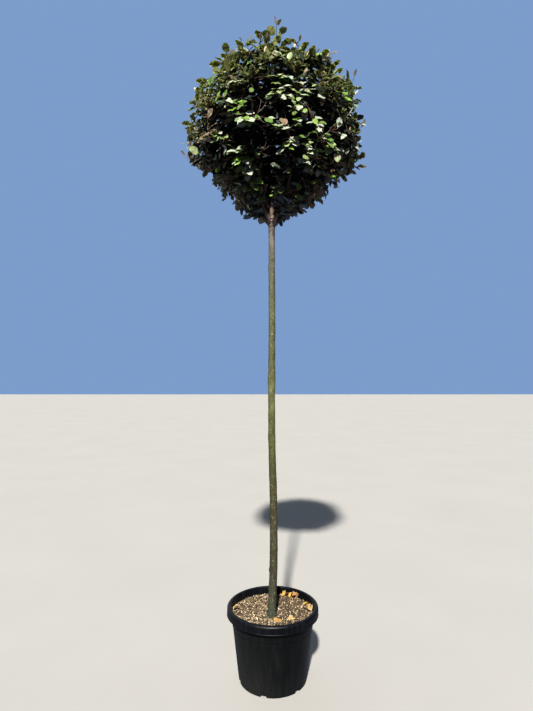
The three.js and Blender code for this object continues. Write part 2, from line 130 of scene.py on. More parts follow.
def new_piece(name, points, faces, materials, worn=0, sharp_deg=None):
    """A piece from points and a list of face arrays, one array for each number of corners.
    worn is the material number of each face, and edges sharper than sharp_deg don't shade over."""
    corners = np.concatenate([group.ravel() for group in faces]).astype(np.int32)
    sizes = np.concatenate([np.full(len(group), group.shape[1], np.int32) for group in faces])
    mesh = bpy.data.meshes.new(name)
    mesh.vertices.add(len(points))
    mesh.vertices.foreach_set("co", points.astype(np.float32).ravel())
    mesh.loops.add(len(corners))
    mesh.loops.foreach_set("vertex_index", corners)
    mesh.polygons.add(len(sizes))
    mesh.polygons.foreach_set("loop_start", (np.cumsum(sizes) - sizes).astype(np.int32))
    numbers = np.ascontiguousarray(np.broadcast_to(worn, len(sizes)), np.int32)
    mesh.polygons.foreach_set("material_index", numbers)
    mesh.polygons.foreach_set("use_smooth", np.ones(len(sizes), bool))
    for material in materials:
        mesh.materials.append(material)
    mesh.update(calc_edges=True)
    mesh.validate()
    if sharp_deg is not None:
        mesh.set_sharp_from_angle(angle=math.radians(sharp_deg))
    piece = bpy.data.objects.new(name, mesh)
    bpy.context.scene.collection.objects.link(piece)
    triangles = int((sizes - 2).sum())
    made.append((name, triangles))
    print(f"{name}: {len(points)} points, {triangles} triangles")
    return piece


def belongs(piece, slot, *replaced):
    """The piece rides on the plant's one body and stands for these CAD nodes. slot is not used."""
    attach(piece, "root")
    if replaced:
        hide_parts(*replaced)
    return piece


# %% [markdown]
# Tubes and lathes
#
# Stem, boughs and twigs are tubes: rings of points square to a line, joined into quads. A pot is a lathe:
# one outline turned about the upright axis. Both are the same grid of rows and columns, so one function
# joins them. Blender could sweep a bevelled curve or use the Screw modifier, but then the bark's relief
# would need a second step. With arrays the relief is simply part of each ring's radius.

# %% Tubes and lathes
# A tube that starts along X, with a cosine over this, takes its first spoke from Y, and any other from X.
NEARLY_ALONG_X = 0.9


def grid_faces(count, rows, columns):
    """Quads between the rows of each of count grids, closed round the columns, and a cap over each end."""
    start = np.arange(count)[:, None, None] * rows * columns
    row = np.arange(rows - 1)[None, :, None] * columns
    column = np.arange(columns)[None, None, :]
    here = start + row + column
    beside = start + row + (column + 1) % columns
    quads = np.stack([here, beside, beside + columns, here + columns], -1).reshape(-1, 4)
    foot = start[:, 0] + np.arange(columns)[::-1]
    end = start[:, 0] + (rows - 1) * columns + np.arange(columns)
    return [quads, np.concatenate([foot, end])]


def grid_piece(name, points, paint, sharp_deg):
    """A piece from one grid of points (rows, columns, 3)."""
    faces = grid_faces(1, *points.shape[:2])
    return new_piece(name, points.reshape(-1, 3), faces, [paint], sharp_deg=sharp_deg)


def tubes(lines, radii, sides):
    """Rings round each line (tubes, steps, 3), carried along untwisted. radii fits (tubes, steps, sides)."""
    tangents = unit(np.gradient(lines, axis=1))
    first = tangents[:, 0]
    across = np.where(np.abs(first[:, :1]) < NEARLY_ALONG_X, [[1.0, 0.0, 0.0]], [[0.0, 1.0, 0.0]])
    angles = np.arange(sides) * 2 * math.pi / sides
    rings = []
    for step in range(lines.shape[1]):
        tangent = tangents[:, step]
        across = unit(across - tangent * dot(across, tangent))
        second = np.cross(tangent, across)
        spokes = np.cos(angles)[:, None] * across[:, None] + np.sin(angles)[:, None] * second[:, None]
        rings.append(spokes)
    reach = np.broadcast_to(radii, (*lines.shape[:2], sides))[..., None]
    return lines[:, :, None] + np.stack(rings, 1) * reach


def arc(centre_radius, centre_z, rounding, start_deg, end_deg, count):
    """Outline points (radius, z) of an arc, its centre and rounding given."""
    angles = np.radians(np.linspace(start_deg, end_deg, count))
    return np.stack([centre_radius + rounding * np.cos(angles), centre_z + rounding * np.sin(angles)], -1)


def filled_in(outline, longest):
    """The outline with points added, evenly, on each stretch that is longer than longest."""
    parts = []
    for start, end in zip(outline[:-1], outline[1:]):
        steps = max(1, math.ceil(np.linalg.norm(end - start) / longest))
        parts.append(lerp(start, end, np.arange(steps)[:, None] / steps))
    return np.concatenate([*parts, outline[-1:]])


test_tube = tubes(np.array([[[0.0, 0.0, 0.0], [0.0, 0.0, 1.0]]]), 0.5, 8)
print("a test tube:", test_tube.shape[1], "rings of", test_tube.shape[2], "points")

# %% [markdown]
# Camera, floor and light
#
# The photograph was taken from 2.5 m away at eye height, with a short lens, upright and tilted up a little. A
# pale floor and a plain surround keep attention on the plant. The key light is one small bright source from
# over the viewer's left shoulder, well above the camera: small, because the head shows bright leaves against
# deep shade, and a large softbox would fill that shade. A wide weak light from behind lifts the edges, and a
# dim surround fills the rest.

# %% Camera
CAMERA_PLACE = (-0.0307, -2.525, 1.51)
CAMERA_TILT_DEG = 1.77
LENS_MM = 25.42

camera = bpy.data.objects.new("camera", bpy.data.cameras.new("camera"))
camera.data.lens = LENS_MM
camera.location = CAMERA_PLACE
camera.rotation_euler = (math.radians(90 + CAMERA_TILT_DEG), 0, 0)
bpy.context.scene.collection.objects.link(camera)
bpy.context.scene.camera = camera
print("camera", LENS_MM, "mm, at", CAMERA_PLACE)

# %% [markdown]
# Finishes from nodes
#
# No real finish is one flat colour: dust, wrinkles and age break it up, each at its own scale. Noise textures
# do that here. They read the piece's own coordinates in metres, so each pattern has its real size and goes
# with the piece, and no mesh has to be unwrapped. A few short helpers join them into colour, gloss and bump.

# %% Material helpers
# Short names for the sockets of the Principled shader that are used here.
SOCKETS = {
    "base_color": "Base Color",
    "roughness": "Roughness",
    "specular": "Specular IOR Level",
    "normal": "Normal",
    "scatter": "Subsurface Weight",
    "scatter_reach": "Subsurface Radius",
    "scatter_scale": "Subsurface Scale",
}


def new_material(name, **values):
    """A material with a Principled shader, whose sockets take the given values."""
    material = bpy.data.materials.new(name)
    material.use_nodes = True
    shader = material.node_tree.nodes["Principled BSDF"]
    for key, value in values.items():
        shader.inputs[SOCKETS[key]].default_value = (*value, 1) if key == "base_color" else value
    return material


def node(material, kind, inputs=(), **settings):
    """A shader node: settings are its own properties, inputs are values or other nodes' outputs."""
    tree = material.node_tree
    made_node = tree.nodes.new("ShaderNode" + kind)
    for key, value in settings.items():
        setattr(made_node, key, value)
    for key, value in dict(inputs).items():
        if isinstance(value, bpy.types.NodeSocket):
            tree.links.new(value, made_node.inputs[key])
        else:
            made_node.inputs[key].default_value = value
    return made_node


def shade(material, **sockets):
    """Links outputs to the material's shader sockets."""
    shader = material.node_tree.nodes["Principled BSDF"]
    for key, value in sockets.items():
        material.node_tree.links.new(value, shader.inputs[SOCKETS[key]])


print("shader sockets in use:", ", ".join(SOCKETS.values()))


# %% Patterns and blends
def place_on_piece(material, stretch=(1, 1, 1)):
    """The piece's own coordinates in metres, stretched along its axes."""
    coordinates = node(material, "TexCoord")
    inputs = {"Vector": coordinates.outputs["Object"], "Scale": stretch}
    return node(material, "Mapping", inputs).outputs["Vector"]


def noise(material, scale, stretch=(1, 1, 1), detail=4.0, roughness=0.55):
    """A cloudy pattern from 0 to 1 on the piece's own coordinates."""
    where = place_on_piece(material, stretch)
    inputs = {"Vector": where, "Scale": scale, "Detail": detail, "Roughness": roughness}
    return node(material, "TexNoise", inputs).outputs["Fac"]


def spread(material, value, low, high, to_low=0.0, to_high=1.0):
    """Stretches low..high to to_low..to_high, and holds it there outside."""
    inputs = {"Value": value, "From Min": low, "From Max": high, "To Min": to_low, "To Max": to_high}
    return node(material, "MapRange", inputs).outputs["Result"]


def reckon(material, operation, *values):
    """One sum on values or other nodes' outputs, such as ADD, MULTIPLY, or MULTIPLY_ADD for a * b + c."""
    return node(material, "Math", enumerate(values), operation=operation).outputs[0]


def blend_colours(material, share, first, second, blend_type="MIX"):
    """Colour first where share is 0 and second where it is 1."""
    mix = node(material, "Mix", data_type="RGBA", blend_type=blend_type)
    for name, value in (("Factor_Float", share), ("A_Color", first), ("B_Color", second)):
        socket = next(s for s in mix.inputs if s.identifier == name)
        if isinstance(value, bpy.types.NodeSocket):
            material.node_tree.links.new(value, socket)
        else:
            socket.default_value = (*value, 1) if isinstance(value, tuple) else value
    return next(s for s in mix.outputs if s.identifier == "Result_Color")


def bumped(material, height, strength, distance):
    """Shades the surface as if height stood out of it."""
    inputs = {"Height": height, "Strength": strength, "Distance": distance}
    shade(material, normal=node(material, "Bump", inputs).outputs["Normal"])


print("helpers for patterns:", [helper.__name__ for helper in (noise, spread, reckon, bumped)])

# %% Floor
FLOOR_REACH = 30.0
FLOOR_TINT = (0.29, 0.28, 0.265)
FLOOR_TONES = ((0.275, 0.268, 0.252), (0.305, 0.297, 0.280))

floor_paint = new_material("floor_paint", base_color=FLOOR_TINT, roughness=0.95, specular=0.1)
tone = noise(floor_paint, 1.2, detail=3.0)
shade(floor_paint, base_color=blend_colours(floor_paint, tone, *FLOOR_TONES))
floor_corners = np.array([[-1, -1, 0], [1, -1, 0], [1, 1, 0], [-1, 1, 0]]) * FLOOR_REACH
floor = new_piece("floor", floor_corners, [np.array([[0, 1, 2, 3]])], [floor_paint])
floor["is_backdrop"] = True
# The surround's lower half already lights the plant from below, so the floor adds nothing to it.
floor.visible_diffuse = False
floor.visible_glossy = False

# %% Light
KEY_WAY = (-0.30, -2.77, 2.65)
KEY_STRENGTH = 9.0
KEY_ANGLE_DEG = 2.5
KEY_COLOUR = (1.0, 0.965, 0.91)
BACK_WAY = (-0.9, 2.4, 1.8)
BACK_STRENGTH = 1.1
BACK_ANGLE_DEG = 100
BACK_COLOUR = (0.85, 0.92, 1.0)
# The surround lights the plant in two colours, which go over into each other between these upward directions.
FILL_ABOVE = (0.072, 0.104, 0.165)
FILL_BELOW = (0.305, 0.32, 0.36)
FILL_CHANGE = (-0.25, 0.15)
SURROUND_SEEN = (0.20, 0.31, 0.52)


def distant_light(name, way, strength, angle_deg, colour):
    """A light from very far off in direction way, as wide as the angle."""
    light = bpy.data.objects.new(name, bpy.data.lights.new(name, "SUN"))
    light.data.energy = strength
    light.data.angle = math.radians(angle_deg)
    light.data.color = colour
    light.rotation_euler = Vector(way).to_track_quat("Z", "Y").to_euler()
    bpy.context.scene.collection.objects.link(light)


distant_light("key_light", KEY_WAY, KEY_STRENGTH, KEY_ANGLE_DEG, KEY_COLOUR)
distant_light("back_light", BACK_WAY, BACK_STRENGTH, BACK_ANGLE_DEG, BACK_COLOUR)

world = bpy.data.worlds.new("surround")
bpy.context.scene.world = world
world.use_nodes = True
world.node_tree.nodes.clear()
way_z = node(world, "SeparateXYZ", {"Vector": node(world, "TexCoord").outputs["Generated"]}).outputs["Z"]
fill_colour = blend_colours(world, spread(world, way_z, *FILL_CHANGE), FILL_BELOW, FILL_ABOVE)
fill = node(world, "Background", {"Color": fill_colour, "Strength": 1.0})
seen = node(world, "Background", {"Color": (*SURROUND_SEEN, 1), "Strength": 1.0})
rays = node(world, "LightPath")
either = node(world, "MixShader", {0: rays.outputs["Is Camera Ray"], 1: fill.outputs[0], 2: seen.outputs[0]})
node(world, "OutputWorld", {"Surface": either.outputs[0]})
bpy.context.scene.view_settings.view_transform = "Standard"
bpy.context.scene.view_settings.look = "Medium High Contrast"
print("key light", KEY_STRENGTH, "back light", BACK_STRENGTH, "fill", FILL_ABOVE, FILL_BELOW)

# %% [markdown]
# The pot
#
# A moulded nursery pot: a tapering body with a flat foot, a low step under the rim, and a broad rolled rim
# whose skirt hangs free of the body, so that a dark line shows below it. Six drain notches are cut into the
# foot. It is a lathe: the outline starts at the middle of the foot, goes up outside, over the rim and down
# inside, and ends at the middle of the floor, so the wall has its real thickness. Around each notch the
# foot is lifted, which saves a Boolean. The blow-moulded wall isn't quite even, so the radius wavers by a
# fraction of a millimetre.

# %% The pot's outline
POT_HEIGHT = 0.356
POT_BASE_RADIUS = 0.166
POT_SHOULDER_RADIUS = 0.204
POT_WALL = 0.004
POT_CORNER = 0.007
RIM_RADIUS = 0.225
RIM_DEPTH = 0.040
RIM_WALL = 0.004
RIM_ROUNDING = 0.011
RIM_ARCH = 0.0012
SKIRT_EDGE = 0.0015
STEP_BELOW_RIM = 0.053
STEP_SIZE = 0.0015
STEP_EASE = 0.0004
# Heights of the wall's points: even ones from its foot to below the step, those near the step, counted from
# it, and two above.
WALL_FROM = 0.02
WALL_TO_STEP = 0.014
WALL_POINTS = 24
STEP_LEVELS = (-0.0110, -0.0075, -0.0040, -0.0012, -0.0004, -0.0002, 0, 0.0002, 0.0004, 0.0012)
WALL_ABOVE = (0.285, 0.31)
GROOVE = 0.0020
GROOVE_HEIGHT = 0.0110
RIM_BEAD = 0.0009
BEAD_TO_WALL = 2.6
SKIRT_TOP_DEPTH = 0.008
LIP_EASE = 0.004
# A lathe's outline stops this far from its axis, and a small cap closes it there.
POLE_RADIUS = 0.002
OUTLINE_STEP = 0.012
STEP_Z = POT_HEIGHT - RIM_DEPTH - STEP_BELOW_RIM


def pot_body_radius(z):
    """The outer radius: an even taper, wider from the step up, and a groove that slopes in to the step."""
    z = np.asarray(z, float)
    taper = lerp(POT_BASE_RADIUS, POT_SHOULDER_RADIUS - STEP_SIZE, z / (POT_HEIGHT - RIM_DEPTH))
    above = ease(z, STEP_Z - STEP_EASE, STEP_Z + STEP_EASE)
    groove = GROOVE * np.clip((z - STEP_Z + GROOVE_HEIGHT) / GROOVE_HEIGHT, 0, 1) * (1 - above)
    return taper + STEP_SIZE * above - groove


POT_INNER_LIP = float(pot_body_radius(POT_HEIGHT)) - POT_WALL


def pot_outline():
    """Radius and height of the pot's section, from the middle of its foot to the middle of its floor."""
    skirt_foot = POT_HEIGHT - RIM_DEPTH
    under_lip = POT_HEIGHT - SKIRT_TOP_DEPTH
    corner = arc(POT_BASE_RADIUS - POT_CORNER, POT_CORNER, POT_CORNER, -90, 0, 6)
    below_step = np.linspace(WALL_FROM, STEP_Z - WALL_TO_STEP, WALL_POINTS)
    wall_z = np.concatenate([below_step, STEP_Z + np.array(STEP_LEVELS), [*WALL_ABOVE, under_lip]])
    wall = np.stack([pot_body_radius(wall_z), wall_z], -1)
    skirt = [
        [RIM_RADIUS - RIM_WALL, under_lip],
        [RIM_RADIUS - RIM_WALL, skirt_foot + SKIRT_EDGE],
        [RIM_RADIUS - RIM_WALL + SKIRT_EDGE, skirt_foot],
        [RIM_RADIUS - SKIRT_EDGE, skirt_foot],
    ]
    bead = arc(RIM_RADIUS, skirt_foot + RIM_BEAD, RIM_BEAD, -80, 70, 7)
    above_bead = [[RIM_RADIUS, skirt_foot + BEAD_TO_WALL * RIM_BEAD]]
    roll = arc(RIM_RADIUS - RIM_ROUNDING, POT_HEIGHT - RIM_ARCH - RIM_ROUNDING, RIM_ROUNDING, 0, 82, 9)
    roll_top = roll[-1]
    inner = [POT_INNER_LIP + LIP_EASE, POT_HEIGHT - RIM_ARCH]
    arch_share = np.linspace(0, 1, 7)[1:, None]
    arch = lerp(roll_top, np.array(inner), arch_share)
    arch[:, 1] += RIM_ARCH * np.sin(arch_share[:, 0] * math.pi)
    ease_in = arc(POT_INNER_LIP + LIP_EASE, POT_HEIGHT - RIM_ARCH - LIP_EASE, LIP_EASE, 110, 180, 4)
    floor_edge = [[POT_BASE_RADIUS - POT_WALL, POT_WALL], [POLE_RADIUS, POT_WALL]]
    parts = [[[POLE_RADIUS, 0]], corner, wall, skirt, bead, above_bead, roll, arch, ease_in, floor_edge]
    return filled_in(np.concatenate([np.asarray(part, float) for part in parts]), OUTLINE_STEP)


print("pot outline:", len(pot_outline()), "points, lip at", round(POT_INNER_LIP, 4))

# %% The pot's surface
POT_COLUMNS = 288
NOTCH_COUNT = 6
NOTCH_START_DEG = -106
NOTCH_REACH = 0.0155
NOTCH_HEIGHT = 0.011
NOTCH_EDGE = 0.003
NOTCH_EASE_HEIGHT = 0.05
# How much the wall wavers, how that is stretched, and between which heights and radii it sets in: the foot
# stays flat.
WALL_WAVER = 0.0005
WAVER_SIZE = 0.07
WAVER_ROUND = 0.2
WAVER_UP = 0.35
WAVER_Z = (0.01, 0.05)
WAVER_RADII = (0.15, 0.17)


def notch_lift(radius, angle):
    """How far the foot is lifted: the notch's height within its reach of each notch's middle, else 0."""
    lift = np.zeros(np.broadcast_shapes(radius.shape, angle.shape))
    for number in range(NOTCH_COUNT):
        turn = angle - math.radians(NOTCH_START_DEG + 360 / NOTCH_COUNT * number)
        away = np.hypot(radius * np.cos(turn) - POT_BASE_RADIUS, radius * np.sin(turn))
        lift += NOTCH_HEIGHT * (1 - ease(away, NOTCH_REACH - NOTCH_EDGE, NOTCH_REACH))
    return lift


def pot_surface():
    """(row, column, 3): outline row turned by column angle, foot lifted at the notches, radius wavering."""
    outline = pot_outline()
    radius = outline[:, 0, None]
    z = outline[:, 1, None]
    angle = np.arange(POT_COLUMNS)[None] * 2 * math.pi / POT_COLUMNS
    lifted = z + notch_lift(radius, angle) * np.clip(1 - z / NOTCH_EASE_HEIGHT, 0, 1)
    ring = np.stack([np.cos(angle), np.sin(angle), 0 * angle], -1)
    on_wall = ring * WAVER_ROUND + z[..., None] * UP * WAVER_UP
    waver = ripples(on_wall, WAVER_SIZE, seed=3) * WALL_WAVER
    waver = waver * ease(z, *WAVER_Z) * ease(radius, *WAVER_RADII)
    turned = radius + waver
    return np.stack([turned * np.cos(angle), turned * np.sin(angle), lifted + 0 * angle], -1)


pot_points = pot_surface()
print("pot surface:", pot_points.shape[0], "rows of", pot_points.shape[1], "points")

# %% [markdown]
# The pot's plastic
#
# Black polyethylene, with a soft gloss. Its rim is painted a little bluer than its body: a painted bluish
# reflection. Dust dulls it in upright streaks and along the foot. The viewer's left is painted lighter,
# partly dust and partly painted light from the side that the key light comes from. Each of these is a share
# from 0 to 1. They are added up, broken into grains, and blend the black into the colour of dust.

# %% The pot's plastic
PLASTIC_TINT = (0.003, 0.0032, 0.0036)
BODY_BLACK = (0.0026, 0.0030, 0.0032)
# The rim's bluer black is a painted bluish reflection.
RIM_BLUE_SHEEN = (0.0016, 0.0022, 0.0040)
RIM_BLUE_SHEEN_Z = (0.312, 0.318)
DUST_TINT = (0.036, 0.037, 0.033)
DUST_MOST = 0.5
FOOT_DUST = 0.30
FOOT_DUST_Z = (0.0, 0.12)
# Lighter towards the viewer's left, partly dust and partly painted light: the sideways and upward ranges
# where it fades out.
DUST_AND_LIGHT_X = (-0.17, 0.04)
DUST_AND_LIGHT_Z = (0.0, 0.31)

plastic = new_material("pot_plastic", base_color=PLASTIC_TINT, roughness=0.38, specular=0.21)
streaks = noise(plastic, 55, stretch=(1, 1, 0.06), detail=5.0)
clouds = noise(plastic, 9, detail=5.0, roughness=0.6)
grains = noise(plastic, 420, detail=2.0)
on_pot = node(plastic, "SeparateXYZ", {"Vector": place_on_piece(plastic)}).outputs
low_down = spread(plastic, on_pot["Z"], *FOOT_DUST_Z, 1.0, 0.0)
leftwards = spread(plastic, on_pot["X"], *DUST_AND_LIGHT_X, 1.4, 0.0)
downwards = spread(plastic, on_pot["Z"], *DUST_AND_LIGHT_Z, 1.0, 0.12)
# The lighter left: dust, and painted light.
left_dust_and_light = reckon(plastic, "MULTIPLY", leftwards, downwards)
dust_and_light = reckon(plastic, "MULTIPLY", spread(plastic, streaks, 0.45, 0.75), clouds)
dust_and_light = reckon(plastic, "MULTIPLY_ADD", low_down, FOOT_DUST, dust_and_light)
dust_and_light = reckon(plastic, "ADD", dust_and_light, left_dust_and_light)
dust_and_light = reckon(plastic, "MULTIPLY", dust_and_light, spread(plastic, grains, 0.3, 0.7))
# Painted bluish reflection on the rim.
plain = blend_colours(plastic, spread(plastic, on_pot["Z"], *RIM_BLUE_SHEEN_Z), BODY_BLACK, RIM_BLUE_SHEEN)
dusty = blend_colours(plastic, spread(plastic, dust_and_light, 0.0, 1.0, 0.0, DUST_MOST), plain, DUST_TINT)
shade(plastic, base_color=dusty, roughness=spread(plastic, dust_and_light, 0.0, 0.8, 0.40, 0.75))
bumped(plastic, clouds, 0.12, 0.002)

pot = grid_piece("pot_shell", pot_points, plastic, sharp_deg=50)
belongs(pot, "pot", "pot")

# %% [markdown]
# The potting mix
#
# Bark and peat that has dried to a light tan, a little dished round the stem and higher at the wall. Its body
# fills the pot. Its top is a disc whose height is a formula: dish, bank, and three sizes of unevenness. Loose
# chips lie on it, each an eight-faced lump with its own size and turn. They are one mesh made from one array,
# and their colours are dealt out chip by chip.

# %% The bed
SOIL_TOP = 0.300
SOIL_DIP = 0.002
SOIL_DIP_RADIUS = 0.09
SOIL_DIP_WIDTH = 0.045
SOIL_EDGE_RISE = 0.020
SOIL_BANK_RADIUS = 0.085
SOIL_GAP = 0.0009
# Height, size and seed of each kind of unevenness, lumps to grit, and how it fades out beside the wall.
SOIL_UNEVENNESS = ((0.0030, 0.06, 5), (0.0018, 0.018, 6), (0.0010, 0.007, 7))
SOIL_EDGE_EASE = (-0.002, 0.006)
SOIL_COLUMNS = 220
SOIL_ROWS = 90
# The underside's radius and its number of rows, where the side starts and its number, and the last row's
# radius on top as a share of the first's.
UNDERSIDE_RADIUS = 0.150
UNDERSIDE_ROWS = 3
SIDE_FROM = 0.024
SIDE_ROWS = 12
TOP_POLE_SHARE = 0.012


def inner_radius(z):
    """The inside of the pot's wall: an even taper from its floor to its lip."""
    share = (z - POT_WALL) / (POT_HEIGHT - LIP_EASE - POT_WALL)
    return lerp(POT_BASE_RADIUS - POT_WALL, POT_INNER_LIP, share)


SOIL_RADIUS = float(inner_radius(SOIL_TOP + SOIL_EDGE_RISE)) - SOIL_GAP


def soil_height(x, y):
    """Height of the top: level, less a dish round the stem, plus a rise at the wall, lumps and grit."""
    reach = np.hypot(x, y)
    places = np.stack([x, y], -1)
    dish = SOIL_DIP * hump(reach, SOIL_DIP_RADIUS, SOIL_DIP_WIDTH)
    rise = SOIL_EDGE_RISE * ease(reach, SOIL_BANK_RADIUS, 2 * SOIL_RADIUS - SOIL_BANK_RADIUS) * 2
    uneven = sum(height * ripples(places, size, seed=seed) for height, size, seed in SOIL_UNEVENNESS)
    return SOIL_TOP - dish + rise + uneven * ease(SOIL_RADIUS - reach, *SOIL_EDGE_EASE)


def soil_surface():
    """Rows go from the middle of the underside out, up the wall and in over the top to the middle."""
    angle = np.arange(SOIL_COLUMNS)[None] * 2 * math.pi / SOIL_COLUMNS
    under_radii = np.linspace(POLE_RADIUS, UNDERSIDE_RADIUS, UNDERSIDE_ROWS)
    under_z = np.full(UNDERSIDE_ROWS, POT_WALL + SOIL_GAP + NOTCH_HEIGHT)
    under = np.stack([under_radii, under_z], -1)
    side_z = np.linspace(SIDE_FROM, SOIL_TOP + SOIL_EDGE_RISE, SIDE_ROWS)
    side = np.stack([inner_radius(side_z) - SOIL_GAP, side_z], -1)
    inwards = np.linspace(1, TOP_POLE_SHARE, SOIL_ROWS)[1:] * SOIL_RADIUS
    outline = np.concatenate([under, side, np.stack([inwards, np.full(len(inwards), SOIL_TOP)], -1)])
    radius, z = outline[:, 0, None], outline[:, 1, None]
    x, y = radius * np.cos(angle), radius * np.sin(angle)
    on_top = np.arange(len(outline))[:, None] >= len(under) + len(side) - 1
    return np.stack([x, y, np.where(on_top, soil_height(x, y), z + 0 * angle)], -1)


soil_points = soil_surface()
print("potting mix: radius", round(SOIL_RADIUS, 4), "top at most", round(float(soil_points[..., 2].max()), 4))

# %% The bed's crumbs
MIX_TINT = (0.13, 0.10, 0.07)
# The near-black between the crumbs is painted shade.
GAP_SHADE_TINT = (0.012, 0.008, 0.006)
CRUMB_TINT = (0.160, 0.122, 0.078)
DAMP_TINT = (0.060, 0.043, 0.027)

dry_mix = new_material("dry_potting_mix", base_color=MIX_TINT, roughness=0.95, specular=0.2)
crumbs = noise(dry_mix, 160, detail=6.0, roughness=0.7)
patches = noise(dry_mix, 22, detail=4.0)
# Painted shade between the crumbs.
earth = blend_colours(dry_mix, spread(dry_mix, crumbs, 0.40, 0.66), GAP_SHADE_TINT, CRUMB_TINT)
earth = blend_colours(dry_mix, spread(dry_mix, patches, 0.42, 0.68, 0.0, 0.6), earth, DAMP_TINT)
shade(dry_mix, base_color=earth)
bumped(dry_mix, crumbs, 0.7, 0.004)

soil = grid_piece("potting_mix_bed", soil_points, dry_mix, sharp_deg=60)
belongs(soil, "potting_mix", "potting_mix")

# %% Loose chips
CHIP_COUNT = 3600
CHIP_SIZES = (0.0030, 0.0080)
CHIP_SMALLER = (0.5, 1)
# The least and the most that a chip's length, width and height are, as shares of its size.
CHIP_SHAPES = ([0.7, 0.4, 0.25], [1.8, 0.8, 0.5])
CHIP_JITTER = (0.75, 1.25)
# How far out they lie, as shares of the bed's radius and area, how flat they lie, and how far they rise.
CHIP_REACH = 0.985
CHIP_AREA = (0.02, 1)
CHIP_FLATNESS = 0.7
CHIP_RISE = 0.25
CHIP_TINTS = {
    "chip_tan": (0.275, 0.213, 0.128),
    "chip_pale": (0.450, 0.380, 0.262),
    "chip_brown": (0.112, 0.066, 0.036),
    "chip_dark": (0.024, 0.014, 0.009),
}
# Shares of the four tints on the viewer's left and to the right of the stem, where more dark chips are
# painted shade.
CHIP_SHARES = np.array([[0.36, 0.20, 0.23, 0.21], [0.26, 0.09, 0.23, 0.42]])
# Sideways places between which the shares go over to the painted shade's, how much patches of painted shade
# shift that, and their size.
SHADE_SIDE_X = (-0.03, 0.09)
SHADE_PATCHES = 0.30
SHADE_PATCH_SIZE = 0.035
CORNERS = np.array([[1, 0, 0], [0, 1, 0], [-1, 0, 0], [0, -1, 0], [0, 0, 1], [0, 0, -1]], float)
UPPER_FACES = [[0, 1, 4], [1, 2, 4], [2, 3, 4], [3, 0, 4]]
LOWER_FACES = [[1, 0, 5], [2, 1, 5], [3, 2, 5], [0, 3, 5]]
EIGHT_FACES = np.array(UPPER_FACES + LOWER_FACES)


def drawn(shares, dice):
    """For each row of shares the number of the column that one throw of the dice falls in."""
    steps = np.cumsum(shares, 1) / shares.sum(1, keepdims=True)
    return np.minimum((dice.uniform(size=(len(shares), 1)) > steps).sum(1), shares.shape[1] - 1)


def random_turns(count, dice):
    """Rotation matrices in all directions, from unit quaternions."""
    w, x, y, z = unit(dice.normal(size=(count, 4))).T
    rows = [
        [1 - 2 * (y * y + z * z), 2 * (x * y - z * w), 2 * (x * z + y * w)],
        [2 * (x * y + z * w), 1 - 2 * (x * x + z * z), 2 * (y * z - x * w)],
        [2 * (x * z - y * w), 2 * (y * z + x * w), 1 - 2 * (x * x + y * y)],
    ]
    return np.moveaxis(np.array(rows), 2, 0)


def chip_points(dice):
    """Lumps spread over the disc, each stretched along one axis, jittered at its corners and turned."""
    reach = CHIP_REACH * SOIL_RADIUS * np.sqrt(dice.uniform(*CHIP_AREA, CHIP_COUNT))
    turn = dice.uniform(0, 2 * math.pi, CHIP_COUNT)
    x, y = reach * np.cos(turn), reach * np.sin(turn)
    size = dice.uniform(*CHIP_SIZES, CHIP_COUNT) * dice.uniform(*CHIP_SMALLER, CHIP_COUNT)
    shape = dice.uniform(*CHIP_SHAPES, (CHIP_COUNT, 3)) * size[:, None]
    jitter = dice.uniform(*CHIP_JITTER, (CHIP_COUNT, len(CORNERS), 1))
    lumps = np.einsum("nij,nkj->nki", random_turns(CHIP_COUNT, dice), CORNERS * jitter * shape[:, None])
    lumps[..., 2] *= CHIP_FLATNESS
    return lumps + np.stack([x, y, soil_height(x, y) + CHIP_RISE * size], -1)[:, None]


def chip_tints(places, dice):
    """The number of each chip's tint, from shares that change with its place and from patch to patch: painted
    shade.
    """
    shade_share = ease(places[:, :1], *SHADE_SIDE_X)
    shade_share = np.clip(shade_share + SHADE_PATCHES * ripples(places, SHADE_PATCH_SIZE, seed=43)[:, None], 0, 1)
    return drawn(lerp(CHIP_SHARES[0], CHIP_SHARES[1], shade_share), dice)


dice = np.random.default_rng(21)
chips = chip_points(dice)
chip_faces = (np.arange(CHIP_COUNT)[:, None, None] * len(CORNERS) + EIGHT_FACES).reshape(-1, 3)
chip_paints = [new_material(name, base_color=tint, roughness=0.9) for name, tint in CHIP_TINTS.items()]
chip_worn = np.repeat(chip_tints(chips.mean(1), dice), len(EIGHT_FACES))
chip_corners = chips.reshape(-1, 3)
loose_chips = new_piece("potting_mix_chips", chip_corners, [chip_faces], chip_paints, chip_worn, sharp_deg=20)
belongs(loose_chips, "potting_mix")

# %% [markdown]
# The stem
#
# A nursery-grown stem, nearly straight, a little thicker than a broom handle. Its bark is smooth and thin:
# grey-green at the foot, olive in the middle and grey-brown at the top, with fine upright wrinkles. Where
# side shoots were cut off there are knots and dark scars. At the top it swells into a knuckle, which the
# boughs grow from. The stem is one tube with 460 rings. Its radius is taper plus root flare plus knuckle,
# from the CAD model, plus the relief: long shallow waves, wrinkles, and a low mound with a dent for each
# knot.

# %% The stem's line and radius
TRUNK_FOOT_Z = 0.3003
TRUNK_TOP_Z = 2.280
TRUNK_TOP_X = -0.004
TRUNK_TOP_RADIUS = 0.0162
TRUNK_TAPER = 0.0045
FLARE = 0.0045
FLARE_HEIGHT = 0.020
SWELLING = 0.005
SWELLING_Z = 2.256
SWELLING_HEIGHT = 0.017
BULGE = 0.0014
BULGE_Z = 1.480
BULGE_HEIGHT = 0.090
# The stem's middle: height, sideways and backwards.
TRUNK_BENDS = np.array([
    [TRUNK_FOOT_Z, -0.004, 0.0],
    [0.590, 0.005, -0.002],
    [0.860, 0.004, 0.0],
    [1.120, -0.003, 0.002],
    [1.365, -0.005, 0.004],
    [1.720, -0.003, 0.001],
    [2.080, -0.004, -0.002],
    [TRUNK_TOP_Z, TRUNK_TOP_X, 0.0],
])


